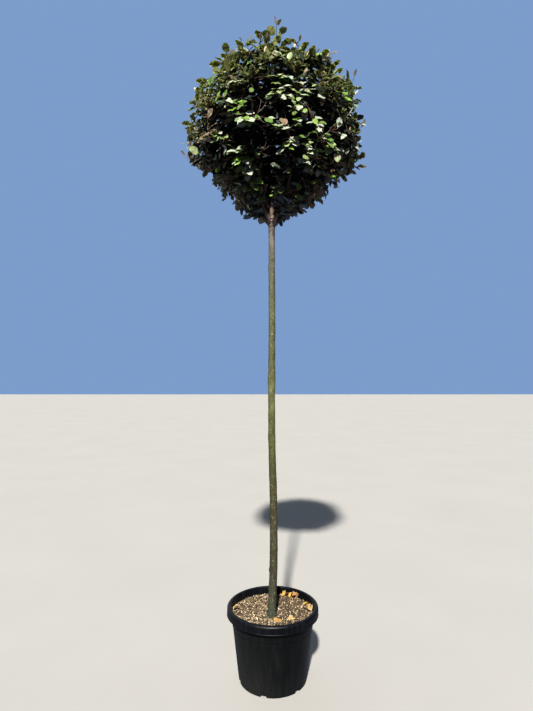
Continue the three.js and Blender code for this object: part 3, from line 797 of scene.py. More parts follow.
def trunk_middle(z):
    """The stem's middle at each height: a smooth curve through the bends, a cubic between each two,
    whose slopes come from the neighbouring bends."""
    levels = TRUNK_BENDS[:, 0]
    slopes = np.gradient(TRUNK_BENDS[:, 1:], levels, axis=0)
    stretch = np.clip(np.searchsorted(levels, z) - 1, 0, len(levels) - 2)
    width = (levels[stretch + 1] - levels[stretch])[:, None]
    t = (z - levels[stretch])[:, None] / width
    start, end = TRUNK_BENDS[stretch, 1:], TRUNK_BENDS[stretch + 1, 1:]
    first, last = slopes[stretch] * width, slopes[stretch + 1] * width
    middle = (2 * t**3 - 3 * t**2 + 1) * start + (t**3 - 2 * t**2 + t) * first
    middle += (3 * t**2 - 2 * t**3) * end + (t**3 - t**2) * last
    return np.column_stack([middle, z])


def trunk_radius(z):
    """Top radius, plus taper and root flare towards the foot, plus the knuckle and one slight bulge."""
    rise = (z - TRUNK_FOOT_Z) / (TRUNK_TOP_Z - TRUNK_FOOT_Z)
    flare = FLARE * np.exp(-(z - TRUNK_FOOT_Z) / FLARE_HEIGHT)
    humps = SWELLING * hump(z, SWELLING_Z, SWELLING_HEIGHT) + BULGE * hump(z, BULGE_Z, BULGE_HEIGHT)
    return TRUNK_TOP_RADIUS + TRUNK_TAPER * (1 - rise) ** 2 + flare + humps


widths = 2000 * trunk_radius(np.array([TRUNK_FOOT_Z, 1.0, 2.0, SWELLING_Z]))
print("stem, mm wide at foot, 1 m, 2 m and knuckle:", widths.round(1).tolist())

# %% Knots and relief
# Each knot: height, angle round the stem in degrees (-90 faces the viewer), half width, how far it stands
# out, how deep its dent is, and how dark its scar is, where less than nothing is a pale one.
KNOTS = np.array([
    [2.148, 195, 0.006, 0.0016, 0.0000, 0.7],
    [2.067, -84, 0.009, 0.0022, 0.0016, 1.0],
    [2.031, 190, 0.016, 0.0022, 0.0000, 0.1],
    [1.880, -30, 0.008, 0.0014, 0.0006, 0.4],
    [1.740, 75, 0.010, 0.0022, 0.0012, 0.8],
    [1.696, -88, 0.008, 0.0012, 0.0004, -0.5],
    [1.646, 200, 0.010, 0.0014, 0.0000, 0.2],
    [1.596, -50, 0.007, 0.0016, 0.0008, 0.9],
    [1.465, 185, 0.024, 0.0030, 0.0000, 0.1],
    [1.300, 190, 0.012, 0.0020, 0.0000, 0.2],
    [1.180, 178, 0.011, 0.0026, 0.0006, 0.3],
    [1.090, 60, 0.010, 0.0020, 0.0010, 0.7],
    [0.921, 215, 0.007, 0.0016, 0.0008, 0.9],
    [0.778, -80, 0.0075, 0.0018, 0.0014, 1.1],
    [0.630, -45, 0.012, 0.0024, 0.0000, 0.2],
    [0.524, 182, 0.007, 0.0055, 0.0000, 0.2],
    [0.470, 120, 0.010, 0.0020, 0.0010, 0.8],
    [0.400, -55, 0.009, 0.0012, 0.0010, 1.0],
])
TRUNK_SIDES = 72
TRUNK_RINGS = 460
WRINKLE = 0.00035
WRINKLE_SIZE = 0.006
GRAIN_SHARE = 0.4
GRAIN_SIZE = 0.004
WAVE = 0.0007
WAVE_SIZE = 0.05
# The reach of a knot's dent and of its scar, as shares of the mound's in the bell curve's exponent.
DENT_REACH = 0.16
SCAR_REACH = 0.35
# The knuckle's rough burr: how far it stands out, its size, and between which heights it sets in.
BURR = 0.0016
BURR_SIZE = 0.02
BURR_Z = (2.225, 2.26)
TOP_ROUNDING = 0.012
TOP_CLOSED = 0.9


def knot_relief(z, angle, radius):
    """Sum over the knots of a bell-shaped mound less a narrower dent, and of the scars' darkness."""
    relief = 0
    scar = 0
    for height_z, turn_deg, half_width, mound, dent, dark in KNOTS:
        sideways = radius * ((angle - math.radians(turn_deg) + math.pi) % (2 * math.pi) - math.pi)
        away = ((z - height_z) ** 2 + sideways**2) / half_width**2
        relief = relief + mound * np.exp(-away) - (mound + dent) * np.exp(-away / DENT_REACH)
        scar = scar + dark * np.exp(-away / SCAR_REACH)
    return relief, scar


def bark_relief(points, wrinkle_stretch=1.0):
    """Long shallow waves, wrinkles and fine grain, in metres. A stretch under 1 draws wrinkles upwards."""
    waves = WAVE * ripples(points * [1, 1, 0.5], WAVE_SIZE, seed=31)
    wrinkles = WRINKLE * ripples(points * [1, 1, wrinkle_stretch], WRINKLE_SIZE, seed=32)
    return waves + wrinkles + GRAIN_SHARE * WRINKLE * ripples(points, GRAIN_SIZE, seed=33)


def trunk_surface():
    """Rings up the stem, each point pushed out by the relief, and a rounded top over the knuckle."""
    z = np.linspace(TRUNK_FOOT_Z, TRUNK_TOP_Z, TRUNK_RINGS)
    angle = np.arange(TRUNK_SIDES)[None] * 2 * math.pi / TRUNK_SIDES
    radius = trunk_radius(z)[:, None]
    smooth = np.stack([radius * np.cos(angle), radius * np.sin(angle), z[:, None] + 0 * angle], -1)
    knots, scars = knot_relief(z[:, None], angle, radius)
    burr = ease(z, *BURR_Z)[:, None] * BURR * ripples(smooth, BURR_SIZE, seed=34)
    radii = radius + knots + burr + bark_relief(smooth, wrinkle_stretch=0.3)
    rounded = 1 - TOP_CLOSED * ease(z, TRUNK_TOP_Z - TOP_ROUNDING, TRUNK_TOP_Z)[:, None] ** 3
    return tubes(trunk_middle(z)[None], (radii * rounded)[None], TRUNK_SIDES)[0], scars


trunk_points, trunk_scars = trunk_surface()
print("stem surface:", len(KNOTS), "knots, darkest scar", round(float(trunk_scars.max()), 2))

# %% [markdown]
# The bark's finish
#
# The bark's colour changes on the way up, so a colour ramp reads the height on the piece. Clouds of noise
# shift that height, so that no colour ends on a level line. Mottling darkens it, pale flecks and scars lie
# over it, and fine upright wrinkles go into the bump. Scars come from the piece's own attribute, since the
# shape knows where its knots are.

# %% The bark's finish
# How much the colours wander up and down, and what stays of the colour in its darkest spots.
BARK_WANDER = 0.35
BARK_DARKEST = (0.50, 0.50, 0.46)
FLECK_TINT = (0.34, 0.34, 0.25)
SCAR_TINT = (0.022, 0.013, 0.010)
PALE_SCAR_TINT = (0.34, 0.32, 0.22)


def keep_on_points(piece, name, values):
    """Stores one number for each point of the piece, for its material to read."""
    stored = piece.data.attributes.new(name, "FLOAT", "POINT")
    stored.data.foreach_set("value", np.ascontiguousarray(values.ravel(), np.float32))


def ramp(material, value, stops):
    """A colour that goes smoothly from stop to stop: each stop is a value and its colour."""
    low, high = stops[0][0], stops[-1][0]
    colours = node(material, "ValToRGB", {"Fac": spread(material, value, low, high)})
    elements = colours.color_ramp.elements
    while len(elements) < len(stops):
        elements.new(1.0)
    for element, (level, colour) in zip(elements, stops):
        element.position = (level - low) / (high - low)
        element.color = (*colour, 1)
    return colours.outputs["Color"]


def bark_finish(name, stops):
    """Bark whose colour changes with height, with mottling, pale flecks, wrinkles and scars."""
    bark = new_material(name, base_color=stops[1][1], roughness=0.8, specular=0.3)
    height_z = node(bark, "SeparateXYZ", {"Vector": place_on_piece(bark)}).outputs["Z"]
    clouds = reckon(bark, "SUBTRACT", noise(bark, 9, detail=5.0, roughness=0.6), 0.5)
    colour = ramp(bark, reckon(bark, "MULTIPLY_ADD", clouds, BARK_WANDER, height_z), stops)
    mottle = noise(bark, 55, stretch=(1, 1, 0.4), detail=6.0, roughness=0.65)
    dark = spread(bark, mottle, 0.34, 0.66, 1.0, 0.0)
    colour = blend_colours(bark, dark, colour, BARK_DARKEST, "MULTIPLY")
    fleck = spread(bark, noise(bark, 190, stretch=(1, 1, 0.6), detail=3.0), 0.58, 0.70, 0.0, 0.5)
    colour = blend_colours(bark, fleck, colour, FLECK_TINT)
    scar = node(bark, "Attribute", attribute_name="scar").outputs["Fac"]
    colour = blend_colours(bark, spread(bark, scar, 0.15, 0.9), colour, SCAR_TINT)
    colour = blend_colours(bark, spread(bark, scar, -0.1, -0.5, 0.0, 0.7), colour, PALE_SCAR_TINT)
    wrinkles = noise(bark, 260, stretch=(1, 1, 0.2), detail=5.0)
    shade(bark, base_color=colour, roughness=spread(bark, mottle, 0.3, 0.7, 0.72, 0.88))
    bumped(bark, wrinkles, 0.6, 0.002)
    return bark


# The stem's colours: the height of each, and the colour there.
STEM_STOPS = [
    (0.30, (0.048, 0.053, 0.038)),
    (0.56, (0.046, 0.043, 0.022)),
    (0.80, (0.048, 0.041, 0.017)),
    (1.00, (0.056, 0.053, 0.018)),
    (1.25, (0.090, 0.090, 0.031)),
    (1.40, (0.130, 0.132, 0.056)),
    (1.60, (0.083, 0.084, 0.039)),
    (1.77, (0.100, 0.100, 0.048)),
    (2.00, (0.095, 0.099, 0.058)),
    (2.15, (0.130, 0.119, 0.104)),
    (2.23, (0.160, 0.128, 0.112)),
    # At the knuckle the bark is painted paler: painted light where the boughs shade it.
    (2.26, (0.330, 0.265, 0.232)),
    (2.28, (0.300, 0.230, 0.200)),
]
stem_bark = bark_finish("stem_bark", STEM_STOPS)
trunk = grid_piece("trunk_bark", trunk_points, stem_bark, sharp_deg=70)
keep_on_points(trunk, "scar", trunk_scars)
belongs(trunk, "bark", "trunk")

# %% [markdown]
# The boughs
#
# Seven limbs start at the knuckle: a leader that carries the stem on into the head, and a ring of six that
# rise outwards. Each goes on as the stem of its own mass of foliage. The CAD model places them by a rule: an
# even ring, with small seeded shifts. The same rule is written again here, with the same generator, so that
# each bough lies where its CAD node does, and the frame's own boxes show whether it does.

# %% The source's generator
SOURCE_SEED = 11
WORD = 0xFFFFFFFF


def source_dice(seed):
    """The CAD source's generator: a counter stepped by an odd number and stirred by shifts and products."""
    state = seed
    while True:
        state = (state + 0x6D2B79F5) & WORD
        mixed = ((state ^ (state >> 15)) * (state | 1)) & WORD
        mixed ^= (mixed + ((mixed ^ (mixed >> 7)) * (mixed | 61))) & WORD
        yield (mixed ^ (mixed >> 14)) / 2**32


print("its first draw:", round(next(source_dice(SOURCE_SEED)), 4))

# %% The source's rule for the boughs
SIDE_BOUGHS = 6
SIDE_BOUGH_START_DEG = -62
BOUGH_BASE_RADIUS = 0.0086
BOUGH_TIP_RADIUS = 0.007
BOUGH_START_Z = 2.246
BOUGH_TIP_REACH = 0.128
BOUGH_TIP_Z = 2.372
BOUGH_BEND_REACH = 0.55
BOUGH_BEND_RISE = 0.42
LEADER_BASE_RADIUS = 0.012
LEADER_TIP_RADIUS = 0.009
LEADER_TIP_Z = 2.700
UNEVENNESS_DEG = 6
UNEVENNESS_Z = 0.050
HEAD_CENTRE_X = 0.010
HEAD_CENTRE = np.array([HEAD_CENTRE_X, 0, 2.620])
# A mass's cell is what lies nearest to its middle, and its core is where its stem ends.
SIDE_CELL_REACH = 0.250
SIDE_CELL_Z = 2.600
TOP_CELL_Z = 3.000
SIDE_CORE_REACH = 0.232
SIDE_CORE_Z = 2.610
TOP_CORE_Z = 2.905
STEM_TIP_RADIUS = 0.0045
STEM_BEND_AT = 0.4


def around(angle, reach, z):
    """A point at an angle and a distance from the upright axis."""
    return np.array([reach * math.cos(angle), reach * math.sin(angle), z])


def mass_plan(name, bough, radii, cell, core):
    """A bough and the stem that goes on from its tip, bending over to the middle of its mass."""
    way = unit(bough[2] - bough[1])
    elbow = bough[2] + way * STEM_BEND_AT * np.linalg.norm(core - bough[2])
    return {"name": name, "bough": bough, "stem": (bough[2], elbow, core), "radii": radii, "cell": cell}


def mass_plans():
    """The leader and the ring of side boughs, each with its cell's middle and its stem's end."""
    foot = np.array([TRUNK_TOP_X, 0, TRUNK_TOP_Z])
    tip = np.array([HEAD_CENTRE_X, 0, LEADER_TIP_Z])
    leader = (foot, np.array([TRUNK_TOP_X, 0, (foot[2] + tip[2]) / 2]), tip)
    top = [HEAD_CENTRE + [0, 0, z - HEAD_CENTRE[2]] for z in (TOP_CELL_Z, TOP_CORE_Z)]
    plans = [mass_plan("leader", leader, (LEADER_BASE_RADIUS, LEADER_TIP_RADIUS), *top)]
    draw = source_dice(SOURCE_SEED)
    for number in range(SIDE_BOUGHS):
        turn_deg = 360 / SIDE_BOUGHS * number + SIDE_BOUGH_START_DEG
        angle = math.radians(turn_deg + UNEVENNESS_DEG * (next(draw) - 0.5))
        lift = UNEVENNESS_Z * (next(draw) - 0.5)
        bend_z = lerp(BOUGH_START_Z, BOUGH_TIP_Z, BOUGH_BEND_RISE)
        bough = (
            np.array([TRUNK_TOP_X, 0, BOUGH_START_Z]),
            around(angle, BOUGH_TIP_REACH * BOUGH_BEND_REACH, bend_z),
            around(angle, BOUGH_TIP_REACH, BOUGH_TIP_Z),
        )
        cell, core = (
            around(angle, reach, z + lift) + [HEAD_CENTRE_X, 0, 0]
            for reach, z in ((SIDE_CELL_REACH, SIDE_CELL_Z), (SIDE_CORE_REACH, SIDE_CORE_Z))
        )
        plans.append(mass_plan(str(number + 1), bough, (BOUGH_BASE_RADIUS, BOUGH_TIP_RADIUS), cell, core))
    return plans


plans = mass_plans()
for plan in plans:
    low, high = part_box("bough_" + plan["name"])
    tip = plan["bough"][2]
    off_mm = 1000 * np.abs(tip - np.clip(tip, low, high)).max()
    print("bough", plan["name"], "tip", tip.round(3), "outside its CAD box by", round(off_mm, 2), "mm")

# %% Bough surfaces
BOUGH_SIDES = 20
BOUGH_STEPS = 46
STEM_STEPS = 40
# How much thicker a bough starts, and over how many rings that fades out.
COLLAR = 0.55
COLLAR_RINGS = 7.0
BOUGH_WAVE = 0.0006
BOUGH_WAVE_SIZE = 0.03
BOUGH_SCARS = (1.1, 1.5)
BOUGH_SCAR_SIZE = 0.05

LEADER_STOPS = [
    (2.25, (0.230, 0.165, 0.130)),
    (2.40, (0.200, 0.145, 0.110)),
    (2.60, (0.120, 0.092, 0.062)),
    (3.00, (0.090, 0.068, 0.045)),
]
# The side boughs' bark is painted dark as shade under the head, and paler at the foot as painted light like
# the knuckle's.
SIDE_SHADE_STOPS = [
    (2.272, (0.250, 0.198, 0.170)),
    (2.300, (0.068, 0.050, 0.040)),
    (2.42, (0.075, 0.055, 0.042)),
    (2.60, (0.090, 0.068, 0.045)),
]
leader_bark = bark_finish("leader_bark", LEADER_STOPS)
# Painted shade on the side boughs' bark.
shaded_side_bark = bark_finish("side_bough_shaded_bark", SIDE_SHADE_STOPS)


def along(curves, shares):
    """Points of quadratic curves (root, bend, tip): (1-s)^2 root + 2s(1-s) bend + s^2 tip."""
    root, bend, tip = (np.asarray(end, float)[..., None, :] for end in curves)
    s = np.asarray(shares, float)[..., None]
    return (1 - s) ** 2 * root + 2 * s * (1 - s) * bend + s * s * tip


def bough_surface(plan):
    """A tube along the bough and on along its stem, tapering, thickened into a collar where it starts."""
    bough = along(plan["bough"], np.linspace(0, 1, BOUGH_STEPS))
    stem = along(plan["stem"], np.linspace(0, 1, STEM_STEPS))[1:]
    line = np.concatenate([bough, stem])
    base, tip = plan["radii"]
    on_bough = lerp(base, tip, np.linspace(0, 1, BOUGH_STEPS))
    on_stem = lerp(tip, STEM_TIP_RADIUS, np.linspace(0, 1, STEM_STEPS)[1:])
    radius = np.concatenate([on_bough, on_stem])
    collar = 1 + COLLAR * np.exp(-np.arange(len(line)) / COLLAR_RINGS)
    rings = tubes(line[None], (radius * collar)[None, :, None], BOUGH_SIDES)[0]
    relief = bark_relief(rings) + BOUGH_WAVE * ripples(rings, BOUGH_WAVE_SIZE, seed=35)
    return lerp(line[:, None], rings, 1 + relief[..., None] / (radius * collar)[:, None, None])


for plan in plans:
    rings = bough_surface(plan)
    bark = leader_bark if plan["name"] == "leader" else shaded_side_bark
    piece = grid_piece("bough_" + plan["name"] + "_bark", rings, bark, sharp_deg=70)
    keep_on_points(piece, "scar", ease(ripples(rings, BOUGH_SCAR_SIZE, seed=36), *BOUGH_SCARS))
    belongs(piece, "bark", "bough_" + plan["name"])

# %% [markdown]
# How the head branches
#
# The head is a dome above its widest level and a shallow funnel below. The source's rule spreads shoot tips
# evenly over that outline by the golden angle, and lets every mass grow its own: a lead twig from the end
# of the stem, and two that fork off it, again and again. The same rule runs here, and is then carried on: a
# second, much denser set of tips, at four depths, each grows from whichever limb of its own mass passes
# nearest at an easy angle. That way the twigs branch as on a real shrub, keep within the same reach, and
# leave deep gaps between them.

# %% The head's outline
HEAD_RADIUS = 0.450
HEAD_WIDEST_Z = 2.573
HEAD_TOP_Z = 3.123
HEAD_BOTTOM_Z = 2.292
DOME_POWER = 2.9
FUNNEL_POWER = 0.74
HALVINGS = 16
GOLDEN_ANGLE = math.pi * (3 - math.sqrt(5))


def head_radius_at(z):
    """R sqrt(1 - h^p), where h goes from 0 at the widest level to 1 at the top or at the bottom."""
    above = np.clip((z - HEAD_WIDEST_Z) / (HEAD_TOP_Z - HEAD_WIDEST_Z), 0, 1) ** DOME_POWER
    below = np.clip((HEAD_WIDEST_Z - z) / (HEAD_WIDEST_Z - HEAD_BOTTOM_Z), 0, 1) ** FUNNEL_POWER
    return HEAD_RADIUS * np.sqrt(1 - np.where(z > HEAD_WIDEST_Z, above, below))


def inside_head(points, ragged=0.0):
    """True where a point, drawn towards the head's centre by the ragged share, is inside the outline."""
    pulled = lerp(points, HEAD_CENTRE, ragged)
    return np.hypot(pulled[..., 0] - HEAD_CENTRE_X, pulled[..., 1]) < head_radius_at(pulled[..., 2])


def head_reach(ways):
    """How far the outline is from the head's centre in each direction, found by halving."""
    low = np.zeros(len(ways))
    high = np.full(len(ways), 2 * HEAD_RADIUS)
    for _ in range(HALVINGS):
        reach = (low + high) / 2
        inside = inside_head(HEAD_CENTRE + ways * reach[:, None])
        low = np.where(inside, reach, low)
        high = np.where(inside, high, reach)
    return low


def even_ways(count, turn=0.0):
    """Directions spread evenly over a ball: equal steps in height, each turned on by the golden angle."""
    number = np.arange(count)
    z = 1 - 2 * (number + 0.5) / count
    level = np.sqrt(1 - z * z)
    angle = number * GOLDEN_ANGLE + turn
    return np.stack([level * np.cos(angle), level * np.sin(angle), z], -1)


def mass_of(points):
    """The number of the mass whose cell a point is in: the cell with the nearest middle."""
    middles = np.array([plan["cell"] for plan in plans])
    return np.linalg.norm(points[:, None] - middles, axis=-1).argmin(1)


reach_up, reach_aside = head_reach(np.array([[0.0, 0.0, 1.0], [1.0, 0.0, 0.0]]))
print("head: reach upwards", round(reach_up, 3), "and sideways", round(reach_aside, 3))

# %% Lead twigs and forks, by the source's rule
# How many shoots there are, and how far out their tips lie, as shares of the head's reach.
SHOOT_COUNT = 98
SHOOT_DEPTHS = (0.865, 0.91)
# Where on the stem a lead twig starts, and where on the lead twig its forks do.
LEAD_ROOTS = (0.7, 1.0)
FORKS = (0.45, 0.6)
FORK_RADIUS_SHARE = 0.8
TWIG_BEND_AT = 0.6
TWIG_SAG = 0.05
# Every third of the first shoots is a loose one, nine in all, and the leader's own shoot is the highest.
LOOSE_SHOOTS = 9
LOOSE_EVERY = 3
LOOSE_RISE = (0.035, 0.095)
LEADER_SHOOT_X = 0.020
LEADER_SHOOT_TIP_Z = 3.306


def plan_shoots(dice):
    """Shoot tips at even directions, and how far each rises past the dome: few do, and the leader most."""
    ways = even_ways(SHOOT_COUNT)
    tips = HEAD_CENTRE + ways * (head_reach(ways) * dice.uniform(*SHOOT_DEPTHS, SHOOT_COUNT))[:, None]
    number = np.arange(SHOOT_COUNT)
    loose = (number % LOOSE_EVERY == 0) & (number < LOOSE_EVERY * LOOSE_SHOOTS)
    rise = np.where(loose, dice.uniform(*LOOSE_RISE, SHOOT_COUNT), 0)
    tips[0, 0] = LEADER_SHOOT_X
    rise[0] = LEADER_SHOOT_TIP_Z - tips[0, 2]
    return tips, rise


def grown(root, tip, rise):
    """A twig's curve: from its root over a bend that sags a little, up to its risen tip."""
    end = tip + UP * rise
    bend = lerp(root, tip, TWIG_BEND_AT) - UP * TWIG_SAG * np.linalg.norm(end - root)
    return root, bend, end


def limbs_of_mass(plan, tips, rises, dice):
    """Lead twigs from the stem's end, each with the two nearest shoots left as forks off it."""
    limbs = []
    waiting = list(range(len(tips)))
    while waiting:
        number = waiting.pop(0)
        root = along(plan["stem"], [dice.uniform(*LEAD_ROOTS)])[0]
        lead = grown(root, tips[number], rises[number])
        limbs.append((*lead, rises[number], 1.0))
        waiting.sort(key=lambda other: np.linalg.norm(tips[other] - tips[number]))
        for share in FORKS:
            if waiting:
                other = waiting.pop(0)
                fork = grown(along(lead, [share])[0], tips[other], rises[other])
                limbs.append((*fork, rises[other], FORK_RADIUS_SHARE))
    return limbs


dice = np.random.default_rng(12)
shoot_tips, shoot_rises = plan_shoots(dice)
shoot_mass = mass_of(shoot_tips)
limb_rows = []
for number, plan in enumerate(plans):
    own = shoot_mass == number
    for limb in limbs_of_mass(plan, shoot_tips[own], shoot_rises[own], dice):
        limb_rows.append((*limb, number))
*limb_curves, limb_rise, limb_thick, limb_mass = (np.array(column) for column in zip(*limb_rows))
print("lead twigs and forks:", len(limb_rows), "in masses of", np.bincount(limb_mass).tolist())

# %% [markdown]
# The finer twigs
#
# The photograph's head isn't an even ball. Small clumps stand out or stay behind all over it, and some larger
# parts do, which are measured from its outline. Below, hanging sprays close round the top of the stem, and
# single young shoots stand out of the outline. Each of these is a set of twig tips, or a rule that moves or
# thins them.

# %% Where the outline isn't even
# Small clumps, as a share of the reach, and larger ones low in the head, below these upward directions.
LUMPS = 0.030
LUMP_SIZE = 0.6
LOW_LUMPS = 0.11
LOW_LUMP_SIZE = 0.42
LOW_LUMPS_FROM = (-0.35, 0.0)
# The larger parts: sideways and upward direction, half width, and share of the reach.
UNEVEN_PARTS = np.array([
    [-0.62, 0.78, 0.30, -0.060],
    [-0.35, 0.94, 0.16, 0.030],
    [0.50, 0.87, 0.16, -0.090],
    [0.75, 0.66, 0.25, -0.030],
    [-0.95, -0.05, 0.25, -0.040],
    [0.98, 0.10, 0.30, -0.015],
    [-0.85, -0.50, 0.25, -0.160],
    [0.92, -0.38, 0.24, 0.090],
])


def outline_lumps(ways):
    """By what share the outline is further out in each direction: small clumps plus the larger parts."""
    low = 1 - ease(ways[:, 2], *LOW_LUMPS_FROM)
    lumps = 1 + LUMPS * ripples(ways, LUMP_SIZE, seed=41)
    lumps += LOW_LUMPS * low * ripples(ways, LOW_LUMP_SIZE, seed=42)
    for sideways, upward, half_width, share in UNEVEN_PARTS:
        part = unit(np.array([sideways, 0, upward]))
        lumps += share * hump(np.linalg.norm(ways - part, axis=-1), 0, half_width)
    return lumps


sampled = outline_lumps(even_ways(2000))
print("outline from", round(float(sampled.min()), 3), "to", round(float(sampled.max()), 3), "of the even one")

# %% Spots in full light
# Some sprays low in the front stand in full light, because the growth before them is open: sideways place,
# height and half width of each.
LIT_SPRAYS = np.array([
    [-0.090, 2.381, 0.028], [-0.108, 2.422, 0.026], [-0.148, 2.476, 0.034], [-0.174, 2.506, 0.032],
    [0.052, 2.499, 0.024], [0.078, 2.519, 0.022], [0.153, 2.544, 0.034], [0.204, 2.511, 0.046],
    [0.262, 2.531, 0.032], [0.132, 2.461, 0.024], [0.152, 2.448, 0.022], [0.206, 2.566, 0.032],
    [0.342, 2.594, 0.026], [0.101, 2.591, 0.024], [0.027, 2.569, 0.022], [-0.029, 2.596, 0.034],
    [-0.115, 2.605, 0.026], [-0.155, 2.671, 0.032], [-0.051, 2.490, 0.022], [-0.235, 2.560, 0.026],
    [0.039, 2.796, 0.032], [0.017, 2.724, 0.038], [-0.054, 2.681, 0.034], [0.103, 2.631, 0.026],
    [0.181, 2.583, 0.024], [-0.182, 2.701, 0.026], [0.132, 2.740, 0.028],
])
# Single leaves low in the head that light reaches too, given in the same way.
LIT_LEAVES = np.array([
    [-0.344, 2.533, 0.016], [-0.274, 2.480, 0.014], [-0.145, 2.436, 0.018], [0.024, 2.368, 0.018],
    [0.129, 2.345, 0.015], [0.099, 2.325, 0.013], [0.193, 2.385, 0.016], [0.142, 2.400, 0.014],
    [0.294, 2.466, 0.016], [-0.186, 2.423, 0.014], [-0.057, 2.340, 0.012], [0.245, 2.410, 0.014],
])
# How far out the spots lie as a share of the outline, and in their half widths the radius of a spot and of
# the open way before it.
LIT_DEPTH = 0.9
LIT_ROUND = 1.4
LIT_OPEN = 1.4


def lit_places(spots):
    """The spots' middles, on the front of the head: y = -sqrt((share * R(z))^2 - x^2) from its axis."""
    x, z, _ = spots.T
    y = -np.sqrt((LIT_DEPTH * head_radius_at(z)) ** 2 - (x - HEAD_CENTRE_X) ** 2)
    return np.column_stack([x, y, z])


def lit_sprays(points, spots):
    """Whether each point is in a lit spot, and whether it's before one, on the light's way to it."""
    half_width = spots[:, 2]
    way = unit(np.array(KEY_WAY))
    apart = points[:, None] - lit_places(spots)
    ahead = apart @ way
    aside = np.linalg.norm(apart - ahead[..., None] * way, axis=-1)
    within = np.linalg.norm(apart, axis=-1) < LIT_ROUND * half_width
    return within.any(1), ((ahead > LIT_ROUND * half_width) & (aside < LIT_OPEN * half_width)).any(1)


nearest_y = lit_places(LIT_SPRAYS)[:, 1].min()
print("lit spots:", len(LIT_SPRAYS), "and", len(LIT_LEAVES), "the nearest at y", round(float(nearest_y), 3))

# %% Tips in layers
# How many tips each layer has, and how far out they end, as shares of the head's reach.
TIP_LAYERS = ((760, 0.88, 0.98), (520, 0.72, 0.87), (460, 0.50, 0.71), (220, 0.28, 0.49))
TIP_JITTER = 0.035
# The share of the outermost tips that rise out of the head, how far, and above which upward direction.
LOOSE_FINE_SHARE = 0.20
LOOSE_FINE_RISE = (0.010, 0.050)
LOOSE_FINE_ABOVE = 0.2
STEM_ROOM = 0.045
# Below this direction the growth is thinner, and this share of the tips of the two outer layers is missing.
THIN_BELOW = -0.12
THIN_SHARE = 0.45
# So is the very top, where shoots stand apart.
THIN_ABOVE = 0.78
THIN_TOP_SHARE = 0.40
THIN_LAYERS = 2


def layer_tips(dice):
    """Tips at even directions in each layer, and how far each rises: a few of the outermost are loose."""
    for number, (count, low, high) in enumerate(TIP_LAYERS):
        ways = unit(even_ways(count, turn=number + 1.0) + dice.normal(0, TIP_JITTER, (count, 3)))
        reach = head_reach(ways) * outline_lumps(ways) * dice.uniform(low, high, count)
        layer = HEAD_CENTRE + ways * reach[:, None]
        upward = ways[:, 2]
        loose = (number == 0) & (upward > LOOSE_FINE_ABOVE) & (dice.uniform(size=count) < LOOSE_FINE_SHARE)
        dense = number >= THIN_LAYERS
        clear = np.hypot(layer[:, 0], layer[:, 1]) > STEM_ROOM
        clear &= (upward > THIN_BELOW) | dense | (dice.uniform(size=count) > THIN_SHARE)
        clear &= (upward < THIN_ABOVE) | dense | (dice.uniform(size=count) > THIN_TOP_SHARE)
        rises = np.where(loose, dice.uniform(*LOOSE_FINE_RISE, count), 0)
        yield layer[clear], rises[clear], np.full(clear.sum(), number)


print("tips planned in layers:", [count for count, low, high in TIP_LAYERS])

# %% Hanging sprays and outer shoots
# The hanging sprays round the top of the stem: how many, how far out, how high and how uneven in height, half
# the gap that they leave in front, and how much they crowd together beside it.
SKIRT_COUNT = 124
SKIRT_REACH = (0.045, 0.165)
SKIRT_Z = (2.318, 2.388)
SKIRT_JITTER = 0.012
SKIRT_GAP_DEG = 10
SKIRT_CROWDING = 0.45
# Young shoots that stand out of the outline: sideways place and height of each one's end, how far before or
# behind the head's axis they may be, how far each rises, and how much of that end is its last leaf.
OUTER_SHOOTS = np.array([
    [-0.450, 2.677], [-0.386, 2.978], [-0.233, 3.171], [-0.184, 3.208], [-0.071, 3.250], [0.121, 3.247],
    [0.196, 3.179], [0.252, 3.187], [0.366, 3.072], [0.409, 3.043], [0.462, 2.822],
])
OUTER_SHOOT_DEPTHS = (-0.08, 0.06)
OUTER_SHOOT_RISE = 0.055
END_LEAF = 0.056


def skirt_tips(dice):
    """Tips in a ring round the stem's top, outer ones higher, closer together beside a gap at the front."""
    share = dice.uniform(size=SKIRT_COUNT)
    gap = math.radians(SKIRT_GAP_DEG)
    round_share = (np.arange(SKIRT_COUNT) * GOLDEN_ANGLE / (2 * math.pi)) % 1
    crowded = round_share - SKIRT_CROWDING * np.sin(2 * math.pi * round_share) / (2 * math.pi)
    turn = -math.pi / 2 + gap + crowded * (2 * math.pi - 2 * gap)
    reach = lerp(*SKIRT_REACH, share)
    z = lerp(*SKIRT_Z, share) + dice.uniform(-SKIRT_JITTER, SKIRT_JITTER, SKIRT_COUNT)
    return np.stack([reach * np.cos(turn), reach * np.sin(turn), z], -1)


def fine_tips(dice):
    """All fine tips, how far each rises and its layer's number: those in layers, the hanging sprays, the
    outer shoots and the lit spots, less what would stand before a lit spot."""
    parts = list(layer_tips(dice))
    skirt = skirt_tips(dice)
    parts.append((skirt, np.zeros(len(skirt)), np.zeros(len(skirt), int)))
    depth = dice.uniform(*OUTER_SHOOT_DEPTHS, len(OUTER_SHOOTS))
    foot_z = OUTER_SHOOTS[:, 1] - OUTER_SHOOT_RISE - END_LEAF
    outer = np.stack([OUTER_SHOOTS[:, 0], depth, foot_z], -1)
    parts.append((outer, np.full(len(outer), OUTER_SHOOT_RISE), np.zeros(len(outer), int)))
    lit = lit_places(LIT_SPRAYS)
    parts.append((lit, np.zeros(len(lit)), np.zeros(len(lit), int)))
    places, rises, layers = (np.concatenate(column) for column in zip(*parts))
    within, before = lit_sprays(places, LIT_SPRAYS)
    clear = within | ~before
    return places[clear], rises[clear], layers[clear]


tips, fine_rise, tip_layer = fine_tips(np.random.default_rng(13))
print("tips kept:", len(tips), "in layers of", np.bincount(tip_layer).tolist())

# %% Each tip's twig
# From which share of a limb on twigs leave it, and at how many points of it.
LIMB_FROM = 0.30
LIMB_SAMPLES = 16
